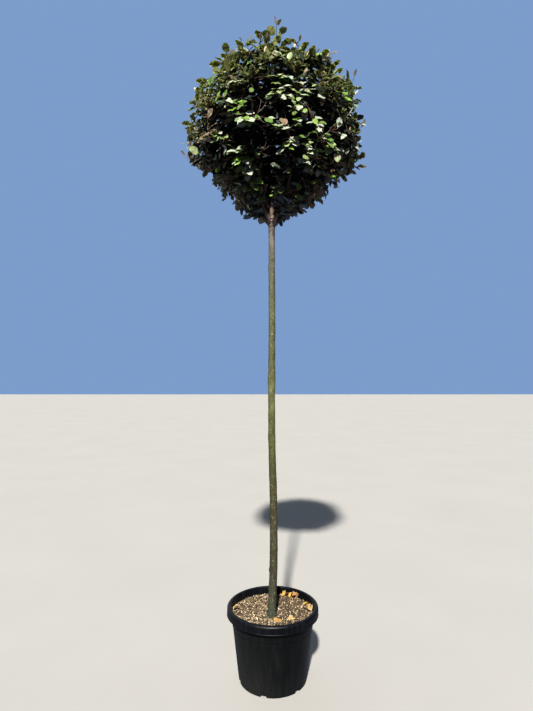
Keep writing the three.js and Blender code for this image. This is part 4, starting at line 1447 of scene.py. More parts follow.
# What a sharp turn costs, how unevenly the prices are dealt out, and what another mass or a short twig costs.
EASY_ANGLE = 0.7
PRICE_SPREAD = (0.8, 1.25)
OTHER_MASS_PRICE = 10.0
SHORTEST = 0.045
SHORT_PRICE = 1.0
# How far a twig goes on in its limb's direction, and how far it sags, as shares of its length.
OWN_WAY = 0.20
LIFT = 0.10


def heading(curves, shares):
    """Unit tangents of quadratic curves: the blend from root-to-bend to bend-to-tip."""
    root, bend, tip = (np.asarray(end, float)[..., None, :] for end in curves)
    s = np.asarray(shares, float)[..., None]
    return unit((1 - s) * (bend - root) + s * (tip - bend))


def limb_points():
    """Points along the outer part of every limb, stem and bough: places, headings and masses."""
    shares = np.linspace(LIMB_FROM, 1, LIMB_SAMPLES)
    stems = tuple(np.array([plan["stem"][k] for plan in plans]) for k in range(3))
    boughs = tuple(np.array([plan["bough"][k] for plan in plans]) for k in range(3))
    curves = tuple(np.concatenate(group) for group in zip(limb_curves, stems, boughs))
    own = np.arange(len(plans))
    masses = np.concatenate([limb_mass, own, own])
    places = along(curves, shares).reshape(-1, 3)
    return places, heading(curves, shares).reshape(-1, 3), np.repeat(masses, LIMB_SAMPLES)


def fine_curves(tips, rises):
    """Each tip's twig, from the limb point that costs least: its distance times a sharp turn's price."""
    places, ways, masses = limb_points()
    apart = tips[:, None] - places
    length = np.linalg.norm(apart, axis=-1)
    cosine = (apart * ways).sum(-1) / np.maximum(length, 1e-9)
    luck = np.random.default_rng(18).uniform(*PRICE_SPREAD, length.shape)
    cost = length * (1 + EASY_ANGLE * (1 - cosine)) * luck
    cost += OTHER_MASS_PRICE * (masses != mass_of(tips)[:, None])
    cost += SHORT_PRICE * (length < SHORTEST)
    chosen = cost.argmin(1)
    roots = places[chosen]
    reach = np.linalg.norm(tips - roots, axis=-1, keepdims=True)
    bends = lerp(roots, tips, 0.5) + reach * (OWN_WAY * ways[chosen] - LIFT * UP)
    return (roots, bends, tips + UP * rises[:, None]), masses[chosen]


twig_curves, twig_mass = fine_curves(tips, fine_rise)
twig_length = np.linalg.norm(twig_curves[2] - twig_curves[0], axis=-1)
print("fine twigs:", len(tips), "mean length", round(float(twig_length.mean()), 3))

# %% [markdown]
# The twigs' wood
#
# Older twigs are thicker, dark brown and matt, and young ones are thin and reddish brown. Neighbouring
# twigs differ a little, so each kind has three tints, dealt out twig by twig. All twigs of one kind and
# mass are one mesh: a grid of rings for each twig. Five or seven sides are enough for something a few
# millimetres thick.

# %% Twig pieces
LIMB_RADII = (0.0026, 0.0012)
TWIG_RADII = (0.0016, 0.0007)
LIMB_SIDES, LIMB_STEPS = 7, 10
TWIG_SIDES, TWIG_STEPS = 5, 7
# How knobbly a twig is, and by which angle the wave of its knobs goes on from ring to ring.
KNOBS = 0.12
KNOB_TURN = 2.4
OLDER_TINTS = ((0.034, 0.025, 0.020), (0.044, 0.033, 0.026), (0.026, 0.020, 0.017))
YOUNG_TINTS = ((0.092, 0.047, 0.034), (0.112, 0.062, 0.045), (0.074, 0.039, 0.030))


def wood_paints(name, tints, roughness, specular):
    """One paint for each tint of a kind of twig."""
    return [
        new_material(f"{name}_{number}", base_color=tint, roughness=roughness, specular=specular)
        for number, tint in enumerate(tints, 1)
    ]


def twig_rings(curves, thick, radii, steps, sides):
    """Tapering tubes along the curves, a little knobbly, as (tubes, steps, sides, 3)."""
    shares = np.linspace(0, 1, steps)
    lines = along(curves, shares)
    radius = lerp(radii[0], radii[1], shares) * np.asarray(thick)[:, None]
    knobbly = 1 + KNOBS * np.sin(np.arange(steps) * KNOB_TURN + np.arange(len(lines))[:, None])
    return tubes(lines, (radius * knobbly)[..., None], sides)


def twig_piece(name, curves, thick, radii, steps, sides, paints):
    """Twigs of one kind and mass as one piece, whose tints are dealt out twig by twig, in turn."""
    rings = twig_rings(curves, thick, radii, steps, sides)
    dealt = np.arange(len(rings)) % len(paints)
    worn = np.concatenate([np.repeat(dealt, (steps - 1) * sides), dealt, dealt])
    faces = grid_faces(len(rings), steps, sides)
    return new_piece(name, rings.reshape(-1, 3), faces, paints, worn, sharp_deg=70)


older_wood = wood_paints("older_twig_wood", OLDER_TINTS, roughness=0.75, specular=0.3)
young_wood = wood_paints("young_twig_wood", YOUNG_TINTS, roughness=0.6, specular=0.35)
twig_thick = np.ones(len(twig_mass))
kinds = (
    ("limbs_", limb_curves, limb_mass, limb_thick, LIMB_RADII, LIMB_STEPS, LIMB_SIDES, older_wood),
    ("twigs_", twig_curves, twig_mass, twig_thick, TWIG_RADII, TWIG_STEPS, TWIG_SIDES, young_wood),
)
for number, plan in enumerate(plans):
    for kind, curves, masses, thick, *shape, paints in kinds:
        own = masses == number
        own_curves = tuple(end[own] for end in curves)
        piece = twig_piece(kind + plan["name"], own_curves, thick[own], *shape, paints)
        belongs(piece, "bark", "foliage_" + plan["name"])

# %% [markdown]
# The leaves
#
# An elaeagnus leaf is a blunt oval about 50 mm long on a short stalk, leathery, with a wavy edge. Its upper
# side is dark, glossy green with silvery scales when young, and its underside is brownish silver. One leaf
# is a thin closed form of two layers, upper and lower, so that each side keeps its own colour from wherever
# it is seen. The formula gives all leaves at once: half width along the blade, a fold at the midrib, a wave
# along the edge and a bend towards the tip, each with its own amount for each leaf. Twenty-five points a
# leaf is enough.

# %% The leaf's form
LEAF_LENGTH = 0.053
LEAF_WIDTH = 0.60
LEAF_THICKNESS = 0.0005
STALK_SHARE = 0.12
STALK_HALF_WIDTHS = (0.018, 0.030)
STALK_THICKNESS = 0.03
# Where the blade's rows of points lie, in full for the outer leaves and fewer for those further in.
FULL_ROWS = (0.0, 0.15, 0.36, 0.60, 0.82)
LIGHT_ROWS = (0.0, 0.30, 0.68)


def blade_rows(rows):
    """Shares of the leaf's length, from the stalk's foot, and half widths: 0.5 sin(pi u^0.9)^0.65."""
    u = np.array(rows)
    half = 0.5 * np.sin(math.pi * u**0.9) ** 0.65
    along_leaf = np.concatenate([[0.0], STALK_SHARE + (1 - STALK_SHARE) * u])
    return along_leaf, np.concatenate([STALK_HALF_WIDTHS, half[1:]])


def leaf_faces(count, rows):
    """Two upper and two lower faces between neighbouring rows, four at the tip, one at the stalk's foot.
    Each row has its left edge, upper middle, right edge and lower middle, in that order."""
    steps = len(rows)
    quads = []
    for row in range(steps):
        left, top, right, under = (4 * row + k for k in range(4))
        for a, b in ((left, top), (top, right), (right, under), (under, left)):
            quads.append([a, a + 4, b + 4, b])
    quads.append([0, 1, 2, 3])
    last = 4 * steps
    tip = last + 4
    triangles = [[last + a, tip, last + b] for a, b in ((0, 1), (1, 2), (2, 3), (3, 0))]
    start = np.arange(count)[:, None, None] * (tip + 1)
    upper = np.array([1, 1, 0, 0] * steps + [0] + [1, 1, 0, 0], bool)
    return [(start + np.array(group)).reshape(-1, len(group[0])) for group in (quads, triangles)], upper


print("points a leaf:", 4 * (len(FULL_ROWS) + 1) + 1, "outside and", 4 * (len(LIGHT_ROWS) + 1) + 1, "inside")

# %% The leaves' bends and folds
# Least and most of each, as shares of the leaf's length: a fold's slope, a bend's drop, a wave's height.
FOLDS = (0.05, 0.40)
BENDS = (-0.04, 0.20)
WAVES = (0.01, 0.06)
WAVE_STARTS = (0, 6.3)
WAVE_TURN = 13
WAVE_FROM = 0.3
OTHER_EDGE = 0.6
TWIST = 0.22


def leaf_points(leaves, rows, dice):
    """All leaves' points: base + across * x + way * y + normal * z, with x, y, z from the blade's formula."""
    count = len(leaves["base"])
    way = unit(leaves["way"])
    across = unit(np.cross(way, leaves["face"]))
    normal = np.cross(across, way)
    along_leaf, half_width = blade_rows(rows)
    share = along_leaf[None]
    half = half_width[None] * LEAF_WIDTH * leaves["width"][:, None]
    curl = leaves.get("curl", 1.0)
    fold = dice.uniform(*FOLDS, (count, 1)) * curl
    bend = dice.uniform(*BENDS, (count, 1)) * curl
    wave = dice.uniform(*WAVES, (count, 1))
    wave = wave * np.sin(share * WAVE_TURN + dice.uniform(*WAVE_STARTS, (count, 1))) * curl
    wave *= ease(share, STALK_SHARE, WAVE_FROM)
    twist = dice.normal(0, TWIST, (count, 1)) * share
    middle_z = -bend * share**2
    edge_z = middle_z + fold * half + wave
    other_z = middle_z + fold * half - OTHER_EDGE * wave
    thick = np.where(share <= STALK_SHARE, STALK_THICKNESS, LEAF_THICKNESS / LEAF_LENGTH)
    x = np.stack([-half, 0 * half, half, 0 * half], -1)
    z = np.stack([edge_z - twist * half, middle_z + thick, other_z + twist * half, middle_z - thick], -1)
    y = np.broadcast_to(share[..., None], x.shape)
    tip = np.stack([0 * bend[:, 0], np.ones(count), -bend[:, 0]], -1)[:, None]
    shape = np.concatenate([np.stack([x, y, z], -1).reshape(count, -1, 3), tip], 1)
    shape *= leaves["length"][:, None, None]
    axes = np.stack([across, way, normal], 1)
    return leaves["base"][:, None] + shape @ axes


def leaf_piece(name, groups, paints, dice, upper, lower):
    """One piece of many leaves: groups are (chosen leaves, blade rows), each leaf with its own two tints."""
    points, quads, triangles, quad_tints, triangle_tints = [], [], [], [], []
    start = 0
    for chosen, leaves, rows in groups:
        blades = leaf_points(leaves, rows, dice)
        (own_quads, own_triangles), is_upper = leaf_faces(len(blades), rows)
        each = len(own_quads) // len(blades)
        dealt = np.where(is_upper, upper[chosen][:, None], lower[chosen][:, None])
        quad_tints.append(dealt[:, :each].ravel())
        triangle_tints.append(dealt[:, each:].ravel())
        quads.append(own_quads + start)
        triangles.append(own_triangles + start)
        points.append(blades.reshape(-1, 3))
        start += len(points[-1])
    faces = [np.concatenate(quads), np.concatenate(triangles)]
    worn = np.concatenate(quad_tints + triangle_tints)
    return new_piece(name, np.concatenate(points), faces, paints, worn, sharp_deg=75)


print("widest blade, mm:", round(2000 * LEAF_LENGTH * LEAF_WIDTH * float(blade_rows(FULL_ROWS)[1].max()), 1))

# %% [markdown]
# Sprays of leaves
#
# Leaves stand one by one round a twig, each turned on from the last by the golden angle. They spread widely
# low on the twig and close up towards its tip. High in the head they point up, low in it they hang, and their
# upper sides turn outwards and up, more or less. The last few of an outer twig are young: small, narrow and
# cream. All this is again arrays: one row for each leaf, with the number of its twig.

# %% How leaves stand on a twig
# A leaf each LEAF_GAP along the twig, at least and at most so many, from this share of the twig on.
LEAF_GAP = 0.0150
FEWEST, MOST = 5, 13
LEAFLESS_SHARE = 0.20
LIMB_LEAFLESS_SHARE = 0.40
# The angle between leaf and twig, where the leaves start and at the tip, and how much leaves spread sideways.
SPREAD_DEG = (85, 48)
YOUNG_SPREAD_DEG = 16
LEVEL_SPREAD = 0.5
ROLL_STARTS = (0, 6.28)
# Not quite upright, so that no twig is in line with it.
NEARLY_UP = UP + [0.013, 0.007, 0]
# Shares of LEAF_LENGTH and LEAF_WIDTH, and how much longer leaves get between these heights.
LEAF_SIZES = (0.62, 1.18)
LEAF_WIDTHS = (0.72, 1.12)
TOP_SIZE = 1.20
TOP_Z = (2.78, 2.98)
YOUNG_FROM = 0.90
YOUNG_SIZES = (0.50, 0.80)
YOUNG_WIDTH = 0.62
# How much an upper side turns each way, and how far the blade then turns to lie square to that.
FACING = {"outward": 0.85, "upward": 0.80, "anywhere": 0.62}
TURNED_TO_LIGHT = 0.6
# Leaves hang below this height and stand above it: over which distance that sets in, and how much at most.
HANG = {"z": 2.60, "over": 0.40, "most": 0.45}


def spray_leaves(curves, leafless, young_twig, dice):
    """One row for each leaf: its twig, base, direction, facing, length, width and whether it's young."""
    span = np.linalg.norm(curves[2] - curves[0], axis=-1)
    counts = np.clip(np.round(span * (1 - leafless) / LEAF_GAP).astype(int), FEWEST, MOST)
    twig = np.repeat(np.arange(len(span)), counts)
    order = np.arange(len(twig)) - np.repeat(np.cumsum(counts) - counts, counts)
    share = lerp(leafless, 1.0, order / (counts[twig] - 1))
    own = tuple(end[twig] for end in curves)
    base = along(own, share[:, None])[:, 0]
    tangent = heading(own, share[:, None])[:, 0]
    first = unit(np.cross(tangent, NEARLY_UP))
    second = np.cross(tangent, first)
    roll = (dice.uniform(*ROLL_STARTS, len(span))[twig] + order * GOLDEN_ANGLE)[:, None]
    young = (share > YOUNG_FROM) & young_twig[twig]
    widest = np.radians(np.where(young, YOUNG_SPREAD_DEG, lerp(*SPREAD_DEG, share)))[:, None]
    sideways = unit(first * np.cos(roll) + second * np.sin(roll) * LEVEL_SPREAD)
    way = tangent * np.cos(widest) + sideways * np.sin(widest)
    hang = np.clip((base[:, 2:] - HANG["z"]) / HANG["over"], -1, 1) * HANG["most"]
    way = unit(way + UP * hang)
    outward = unit(base - HEAD_CENTRE)
    outward[:, 2] = np.maximum(outward[:, 2], 0)
    face = dice.uniform(-1, 1, base.shape) * FACING["anywhere"]
    face += outward * FACING["outward"] + UP * FACING["upward"]
    turned = unit(face)
    way = unit(way - np.where(young[:, None], 0, TURNED_TO_LIGHT) * dot(way, turned) * turned)
    length = np.where(young, dice.uniform(*YOUNG_SIZES, len(twig)), dice.uniform(*LEAF_SIZES, len(twig)))
    width = np.where(young, YOUNG_WIDTH, dice.uniform(*LEAF_WIDTHS, len(twig)))
    length *= np.where(young, 1, lerp(1, TOP_SIZE, ease(base[:, 2], *TOP_Z)))
    length *= LEAF_LENGTH
    names = ("twig", "base", "way", "face", "length", "width", "young")
    return dict(zip(names, (twig, base, way, face, length, width, young)))


print("leaves on a twig 150 mm long:", round(0.150 * (1 - LEAFLESS_SHARE) / LEAF_GAP))

# %% All leaves, twig by twig
# The share of the other outermost twigs that end in young leaves too, in the upper half of the head.
YOUNG_SHARE = 0.10

dice = np.random.default_rng(14)
ragged_young = dice.uniform(size=len(tips)) < YOUNG_SHARE
ragged_young &= (tip_layer == 0) & (tips[:, 2] > HEAD_WIDEST_Z)
fine = spray_leaves(twig_curves, LEAFLESS_SHARE, (fine_rise > 0) | ragged_young, dice)
lead = spray_leaves(limb_curves, LIMB_LEAFLESS_SHARE, limb_rise > 0, dice)
sprays = {key: np.concatenate([fine[key], lead[key]]) for key in fine if key != "twig"}
sprays["spray"] = np.concatenate([fine["twig"], lead["twig"] + len(twig_length)])
sprays["mass"] = np.concatenate([twig_mass[fine["twig"]], limb_mass[lead["twig"]]])
sprays["layer"] = np.concatenate([tip_layer[fine["twig"]], np.zeros(len(lead["twig"]), int)])
risen = np.concatenate([fine_rise[fine["twig"]], limb_rise[lead["twig"]]]) > 0
print("leaves on all twigs:", len(risen), "young ones:", int(sprays["young"].sum()))

# %% [markdown]
# Which leaves stay
#
# A leaf goes where it would leave the outline, touch wood, or stand in the way of light that the photograph
# shows on the stem's top and on single sprays. Others go by a throw of the dice: some low in the head, and
# some between the patches that the outer leaves stand in. What stays leaves the deep gaps of a real head.

# %% Which leaves stay
LIMB_ROOM = 0.009
STEM_CLEARANCE = 0.03
WOOD_SAMPLES = 24
# The key light reaches the stem's top through a gap in the leaves: its half width, and the heights it lights.
WINDOW_HALF_WIDTH = 0.025
WINDOW_Z = (2.08, 2.338)


def clear_of_wood(points):
    """True where a point is outside the stem and off every bough and stem line by LIMB_ROOM."""
    shares = np.linspace(0, 1, WOOD_SAMPLES)
    lines = np.concatenate([along(plan[part], shares) for plan in plans for part in ("bough", "stem")])
    near = np.array([np.linalg.norm(lines - point, axis=-1).min() for point in points])
    stem = (points[:, 2] < TRUNK_TOP_Z) & (np.hypot(points[:, 0], points[:, 1]) < STEM_CLEARANCE)
    return (near > LIMB_ROOM) & ~stem


def out_of_window(points):
    """True where a point doesn't keep the key light from the stem's top."""
    slope = KEY_WAY[2] / math.hypot(KEY_WAY[0], KEY_WAY[1])
    level = unit(np.array(KEY_WAY[:2]))
    from_stem = points[:, :2] - [TRUNK_TOP_X, 0]
    towards = from_stem @ level
    aside = np.abs(from_stem @ [-level[1], level[0]])
    lit_z = points[:, 2] - towards * slope
    below, above = lit_z < WINDOW_Z[0], lit_z > WINDOW_Z[1]
    return (aside > WINDOW_HALF_WIDTH) | (towards < 0) | below | above


print("leaves keep clear of", 2 * len(plans), "lines of wood, and of the light's way to heights", WINDOW_Z)

# %% Sorting out the leaves
# How far inside the outline a leaf's tip has to stay, at least and at most.
RAGGED = (0.0, 0.12)
# The hanging sprays round the stem's top may leave the outline: below this height and within this reach.
SKIRT_ROOM = {"z": 2.42, "reach": 0.2}
# Where along a leaf it's tested against wood, and against the light's way.
AT_BLADE = 0.6
AT_MIDDLE = 0.5
# From here up the leader's shoot has only the leaves of its own list.
CREST_FROM = 3.165
CREST_REACH = 0.05
# Low in the head some of the leaves have dropped: the most that are missing, and from which height down.
MISSING_LOW = 0.35
MISSING_Z = (2.36, 2.56)
# The outer leaves stand in patches: how many are missing between them, how unevenly, and the patches' size.
GAP_SHARE = 0.40
GAP_FROM_TO = (0.10, 0.90)
GAP_SIZE = 0.50
# How far a lit leaf's upper side keeps its own facing, and how far its blade lies square to the light.
OWN_FACING = 0.35
LIT_TURN = 0.9

base, way, lengths = sprays["base"], sprays["way"], sprays["length"][:, None]
leaf_tip = base + way * lengths
from_centre = unit(leaf_tip - HEAD_CENTRE)
ragged = dice.uniform(*RAGGED, (len(leaf_tip), 1))
ragged += outline_lumps(from_centre)[:, None] - 1
skirt = (base[:, 2] < SKIRT_ROOM["z"]) & (np.hypot(*base[:, :2].T) < SKIRT_ROOM["reach"])
kept = inside_head(leaf_tip, ragged) | risen | skirt
kept &= clear_of_wood(lerp(base, leaf_tip, AT_BLADE))
kept &= out_of_window(lerp(base, leaf_tip, AT_MIDDLE)) | sprays["young"]
lit_spots = np.concatenate([LIT_SPRAYS, LIT_LEAVES])
lit, before = lit_sprays(lerp(base, leaf_tip, AT_MIDDLE), lit_spots)
kept &= ~before | lit
kept &= (base[:, 2] < CREST_FROM) | (np.hypot(base[:, 0] - LEADER_SHOOT_X, base[:, 1]) > CREST_REACH)
missing = MISSING_LOW * (1 - ease(leaf_tip[:, 2], *MISSING_Z))
kept &= (dice.uniform(size=len(kept)) > missing) | lit
gaps = GAP_SHARE * ease(ripples(from_centre, GAP_SIZE, seed=44), *GAP_FROM_TO)
kept &= (dice.uniform(size=len(kept)) > gaps) | lit | sprays["young"] | (sprays["layer"] > 0)
to_light = unit(OWN_FACING * sprays["face"] + unit(np.array(KEY_WAY)))
level_way = unit(way - LIT_TURN * dot(way, to_light) * to_light)
sprays["face"] = np.where(lit[:, None], to_light, sprays["face"])
sprays["way"] = np.where(lit[:, None], level_way, way)
sprays["lit"] = lit
sprays = {key: values[kept] for key, values in sprays.items()}
print("leaves:", int(kept.sum()), "of", len(kept), "in layers of", np.bincount(sprays["layer"]).tolist())

# %% The leader's last leaves
# Each leaf's foot, sideways from the leader's shoot and up, its direction sideways and upward, its length and
# its width. The highest are young.
CREST = np.array([
    [0.000, 3.171, -0.20, 1.00, 0.052, 1.00],
    [0.002, 3.187, 0.35, 0.95, 0.060, 0.80],
    [-0.002, 3.234, -0.80, 0.62, 0.062, 1.20],
    [-0.020, 3.240, -1.00, 0.00, 0.062, 0.90],
    [0.006, 3.245, 0.95, 0.42, 0.054, 1.05],
    [0.000, 3.284, 0.70, 0.85, 0.038, 0.90],
    [0.000, 3.292, -0.20, 1.00, 0.044, 0.32],
    [0.000, 3.288, -0.45, 0.90, 0.026, 0.40],
])
CREST_YOUNG_FROM = 3.286
CREST_FORWARD = -0.1
CREST_FACE = (0.0, 0.6, 0.8)

crest = {
    "base": np.column_stack([LEADER_SHOOT_X + CREST[:, 0], np.zeros(len(CREST)), CREST[:, 1]]),
    "way": np.column_stack([CREST[:, 2], np.full(len(CREST), CREST_FORWARD), CREST[:, 3]]),
    "face": np.tile(CREST_FACE, (len(CREST), 1)),
    "length": CREST[:, 4],
    "width": CREST[:, 5],
    "young": CREST[:, 1] > CREST_YOUNG_FROM,
    "spray": np.full(len(CREST), sprays["spray"].max() + 1),
    "mass": np.zeros(len(CREST), int),
    "layer": np.zeros(len(CREST), int),
    "lit": np.zeros(len(CREST), bool),
}
sprays = {key: np.concatenate([values, crest[key]]) for key, values in sprays.items()}
print("leaves on the leader's shoot:", len(CREST), "in all", len(sprays["young"]))

# %% [markdown]
# The leaves' colours
#
# Each tint is one plain colour, and each spray is dealt a family of tints, as neighbouring leaves are of
# one age: most are dark, some olive, some silvery, a few fresh green. A texture on each leaf could vary it
# too, but a leaf is only a few pixels wide from a step away, and what shows there is how leaves differ.
# Upper sides have a soft gloss. Undersides are paler and browner, and dull.

# %% Tints
UPPER_TINTS = {
    "leaf_deep": (0.017, 0.028, 0.018),
    "leaf_dark": (0.033, 0.048, 0.027),
    "leaf_olive": (0.092, 0.103, 0.037),
    "leaf_green": (0.080, 0.145, 0.030),
    "leaf_sage": (0.182, 0.240, 0.102),
    "leaf_silver": (0.276, 0.315, 0.236),
    "leaf_fresh": (0.130, 0.240, 0.034),
    "leaf_bronze": (0.165, 0.114, 0.070),
    # Painted shade with a painted bluish reflection, low in the head.
    "leaf_blue_shade": (0.040, 0.055, 0.066),
}
UNDER_TINTS = {
    "under_brown": (0.182, 0.130, 0.092),
    # Painted shade with a painted bluish reflection, on undersides low in the head.
    "under_blue_shade": (0.112, 0.134, 0.165),
    "under_silver": (0.240, 0.245, 0.210),
    # Painted light through the blade, on undersides high in the head.
    "under_olive": (0.155, 0.160, 0.055),
    # Painted shade on the undersides of leaves deep inside.
    "under_dark": (0.018, 0.023, 0.023),
}
YOUNG_TINT = (0.40, 0.325, 0.215)
BUD_TINT = (0.125, 0.088, 0.066)
# Near-black painted shade for leaves deep inside.
INNER_SHADE_TINT = (0.013, 0.020, 0.016)
THIN_TINTS = {
    "leaf_olive", "leaf_green", "leaf_fresh", "leaf_bronze", "under_olive", "under_brown", "leaf_young",
}
LIGHT_THROUGH = {"scatter": 0.20, "scatter_reach": (0.9, 1.0, 0.45), "scatter_scale": 0.004}


def leaf_paint(name, tint, **values):
    """A leaf's paint. In the thinner, younger or older leaves some light goes through the blade."""
    return new_material(name, base_color=tint, **values, **(LIGHT_THROUGH if name in THIN_TINTS else {}))


leaf_paints = [leaf_paint(name, tint, roughness=0.42, specular=0.38) for name, tint in UPPER_TINTS.items()]
leaf_paints += [leaf_paint(name, tint, roughness=0.65, specular=0.25) for name, tint in UNDER_TINTS.items()]
leaf_paints.append(leaf_paint("leaf_young", YOUNG_TINT, roughness=0.7))
leaf_paints.append(leaf_paint("leaf_bud", BUD_TINT, roughness=0.7))
leaf_paints.append(leaf_paint("leaf_inner", INNER_SHADE_TINT, roughness=0.6, specular=0.2))
# A tint's number on the leaf pieces is its paint's place in this list.
PAINTS = [paint.name for paint in leaf_paints]
print("leaf paints:", len(PAINTS), "of them thin:", len(THIN_TINTS))

# %% Families of tints
# How often each family comes low down, in the middle and at the top, and the heights in between.
# These shares are partly painted light: silvery tints come most in the middle, where leaves catch the key
# light, and olive ones at the top and the sides, where light comes through the leaves.
FAMILY_SHARES = np.array([
    [0.18, 0.10, 0.32, 0.30, 0.10],
    [0.22, 0.08, 0.24, 0.37, 0.09],
    [0.18, 0.52, 0.16, 0.05, 0.09],
])
FAMILY_Z = ((2.40, 2.62), (2.82, 2.98))
# Away from its middle, what belongs to the head's top starts lower, by this share of the distance.
LOWER_ASIDE = 0.45
# A row for each family, dark, olive, sage, silver and fresh: shares of the first seven upper tints.
FAMILIES = np.array([
    [0.40, 0.35, 0.15, 0.06, 0.02, 0.02, 0.00],
    [0.05, 0.18, 0.54, 0.10, 0.08, 0.03, 0.02],
    [0.03, 0.12, 0.15, 0.15, 0.30, 0.22, 0.03],
    [0.02, 0.05, 0.05, 0.08, 0.22, 0.56, 0.02],
    [0.05, 0.10, 0.05, 0.25, 0.10, 0.03, 0.42],
])
# The crest's leaves are of the olive family.
CREST_FAMILY = 1


def spray_families(z, away, dice):
    """Each spray's family, drawn from shares that change with its leaves' mean height and distance aside."""
    spray = sprays["spray"]
    count = spray.max() + 1
    leaves = np.maximum(np.bincount(spray, minlength=count), 1)
    spray_z, spray_away = (np.bincount(spray, values, count) / leaves for values in (z, away))
    low, middle, top = FAMILY_SHARES
    shares = lerp(low, middle, ease(spray_z, *FAMILY_Z[0])[:, None])
    shares = lerp(shares, top, ease(spray_z + LOWER_ASIDE * spray_away, *FAMILY_Z[1])[:, None])
    families = drawn(shares, dice)
    families[-1] = CREST_FAMILY
    return families


print("families of tints:", len(FAMILIES), "whose shares add up to", FAMILIES.sum(1).round(3).tolist())

# %% Old, young and lit leaves
# What leaves in full light are dealt, in equal shares: only pale tints, which is painted light on them.
LIT_KINDS = ("sage", "silver", "silver", "green", "fresh", "green", "sage", "silver")
# Share of the young leaves that look like brown buds, and of the undersides that are silver.
BUD_SHARE = 0.40
SILVER_SHARE = 0.25
# Low in the head many upper sides are dealt bronze: the most of them, the heights that it fades out
# between, how far from the middle it is at its most, and what share of that the middle has.
BRONZE_MOST = 0.72
BRONZE_Z = (2.46, 2.80)
BRONZE_ASIDE = (0.12, 0.36)
BRONZE_MIDDLE = 0.45
# Lowest, where little light comes, many of the others are painted bluish dark, as painted shade with a
# painted bluish reflection, and so are as many undersides.
BLUE_SHADE_MOST = 0.50
BLUE_SHADE_Z = (2.36, 2.56)
BLUE_SHADE_ASIDE = (0.06, 0.24)
# High in the head many undersides are painted olive: painted light through the thin young blades.
OLIVE_MOST = 0.95
OLIVE_Z = (2.70, 2.98)
# Leaves deep inside, and many of the layer before them, are old ones painted near-black as shade: their
# shares low down and above, and the heights in between.
INNER_LAYER = 2
NEXT_LAYER_SHADED = (0.35, 0.70)
NEXT_LAYER_Z = (2.42, 2.60)
# In some parts of the front more leaves are painted near-black as shade: direction sideways, backwards and
# upwards, half width, and their share.
SHADED_PARTS = np.array([
    [0.46, -0.86, 0.20, 0.24, 0.50],
    [0.42, -0.90, -0.05, 0.20, 0.35],
    [0.86, -0.50, 0.06, 0.28, 0.60],
    [-0.43, -0.86, 0.28, 0.24, 0.45],
    [-0.05, -0.84, 0.54, 0.22, 0.25],
])


def paint_numbers(side, *kinds):
    """The numbers of the paints of these kinds, on the upper side (leaf) or the lower one (under)."""
    return [PAINTS.index(side + "_" + kind) for kind in kinds]


def in_shaded_parts(ways):
    """For each direction the share of leaves in painted shade: the highest of the parts' bell curves."""
    dark = np.zeros(len(ways))
    for *part, half_width, share in SHADED_PARTS:
        away = np.linalg.norm(ways - unit(np.array(part)), axis=-1)
        dark = np.maximum(dark, share * hump(away, 0, half_width))
    return dark


print("lit leaves take the paints", paint_numbers("leaf", *LIT_KINDS))


# %% Tints dealt out
def dealt_tints(dice):
    """Each leaf's upper and lower paint: its spray draws a family, it draws from the family, and then
    bronze leaves, leaves in painted shade, lit leaves in painted light, and young ones take their own."""
    base, young, lit, layer = (sprays[key] for key in ("base", "young", "lit", "layer"))
    crest = sprays["spray"] == sprays["spray"].max()
    z, size = base[:, 2], len(base)
    away = np.abs(base[:, 0] - HEAD_CENTRE_X)
    upper = drawn(FAMILIES[spray_families(z, away, dice)][sprays["spray"]], dice)
    bronze_share = BRONZE_MOST * (1 - ease(z, *BRONZE_Z)) * lerp(BRONZE_MIDDLE, 1, ease(away, *BRONZE_ASIDE))
    bronze = (dice.uniform(size=size) < bronze_share) & ~lit
    # Low and near the middle, the bluish dark tints are painted shade with a painted bluish reflection.
    blue_shade_share = BLUE_SHADE_MOST * (1 - ease(z, *BLUE_SHADE_Z)) * (1 - ease(away, *BLUE_SHADE_ASIDE))
    blue_shade = (dice.uniform(size=size) < blue_shade_share) & ~lit
    # Olive undersides high up: painted light through the blades.
    olive = (dice.uniform(size=size) < OLIVE_MOST * ease(z + LOWER_ASIDE * away, *OLIVE_Z)) | crest
    silver = dice.uniform(size=size) < SILVER_SHARE
    # Leaves deep inside and in the shaded parts take the near-black tints: painted shade.
    next_shaded = dice.uniform(size=size) < lerp(*NEXT_LAYER_SHADED, ease(z, *NEXT_LAYER_Z))
    deep = layer + next_shaded * (layer > 0) >= INNER_LAYER
    inner = (deep | (dice.uniform(size=size) < in_shaded_parts(unit(base - HEAD_CENTRE)))) & ~lit
    lit_paints = np.array(paint_numbers("leaf", *LIT_KINDS))
    upper = np.where(lit, lit_paints[dice.integers(len(lit_paints), size=size)], upper)
    bud, cream = paint_numbers("leaf", "bud", "young")
    soft = np.where((dice.uniform(size=size) < BUD_SHARE) | crest, bud, cream)
    own = paint_numbers("leaf", "inner", "bronze", "blue_shade")
    upper = np.select([young, inner, bronze, blue_shade], [soft, *own], upper)
    *under, brown = paint_numbers("under", "dark", "blue_shade", "olive", "silver", "brown")
    lower = np.select([young, inner, blue_shade, olive, silver], [soft, *under], brown)
    return upper, lower


upper_tint, lower_tint = dealt_tints(np.random.default_rng(15))
dealt = np.bincount(upper_tint, minlength=len(PAINTS))
print("upper sides:", {name: int(many) for name, many in zip(PAINTS, dealt) if many})

# %% Leaf pieces
dice = np.random.default_rng(16)
for number, plan in enumerate(plans):
    own = sprays["mass"] == number
    groups = []
    for deep, rows in ((False, FULL_ROWS), (True, LIGHT_ROWS)):
        chosen = np.flatnonzero(own & ((sprays["layer"] > 0) == deep))
        groups.append((chosen, {key: values[chosen] for key, values in sprays.items()}, rows))
    piece = leaf_piece("leaves_" + plan["name"], groups, leaf_paints, dice, upper_tint, lower_tint)
    belongs(piece, "foliage", "foliage_" + plan["name"])

# %% [markdown]
# Fallen leaves
#
# A few old leaves have dropped on the potting mix and dried to yellow and orange. They are the same blade,
# more curled, lying where the photograph shows them, on the height that the soil has there.

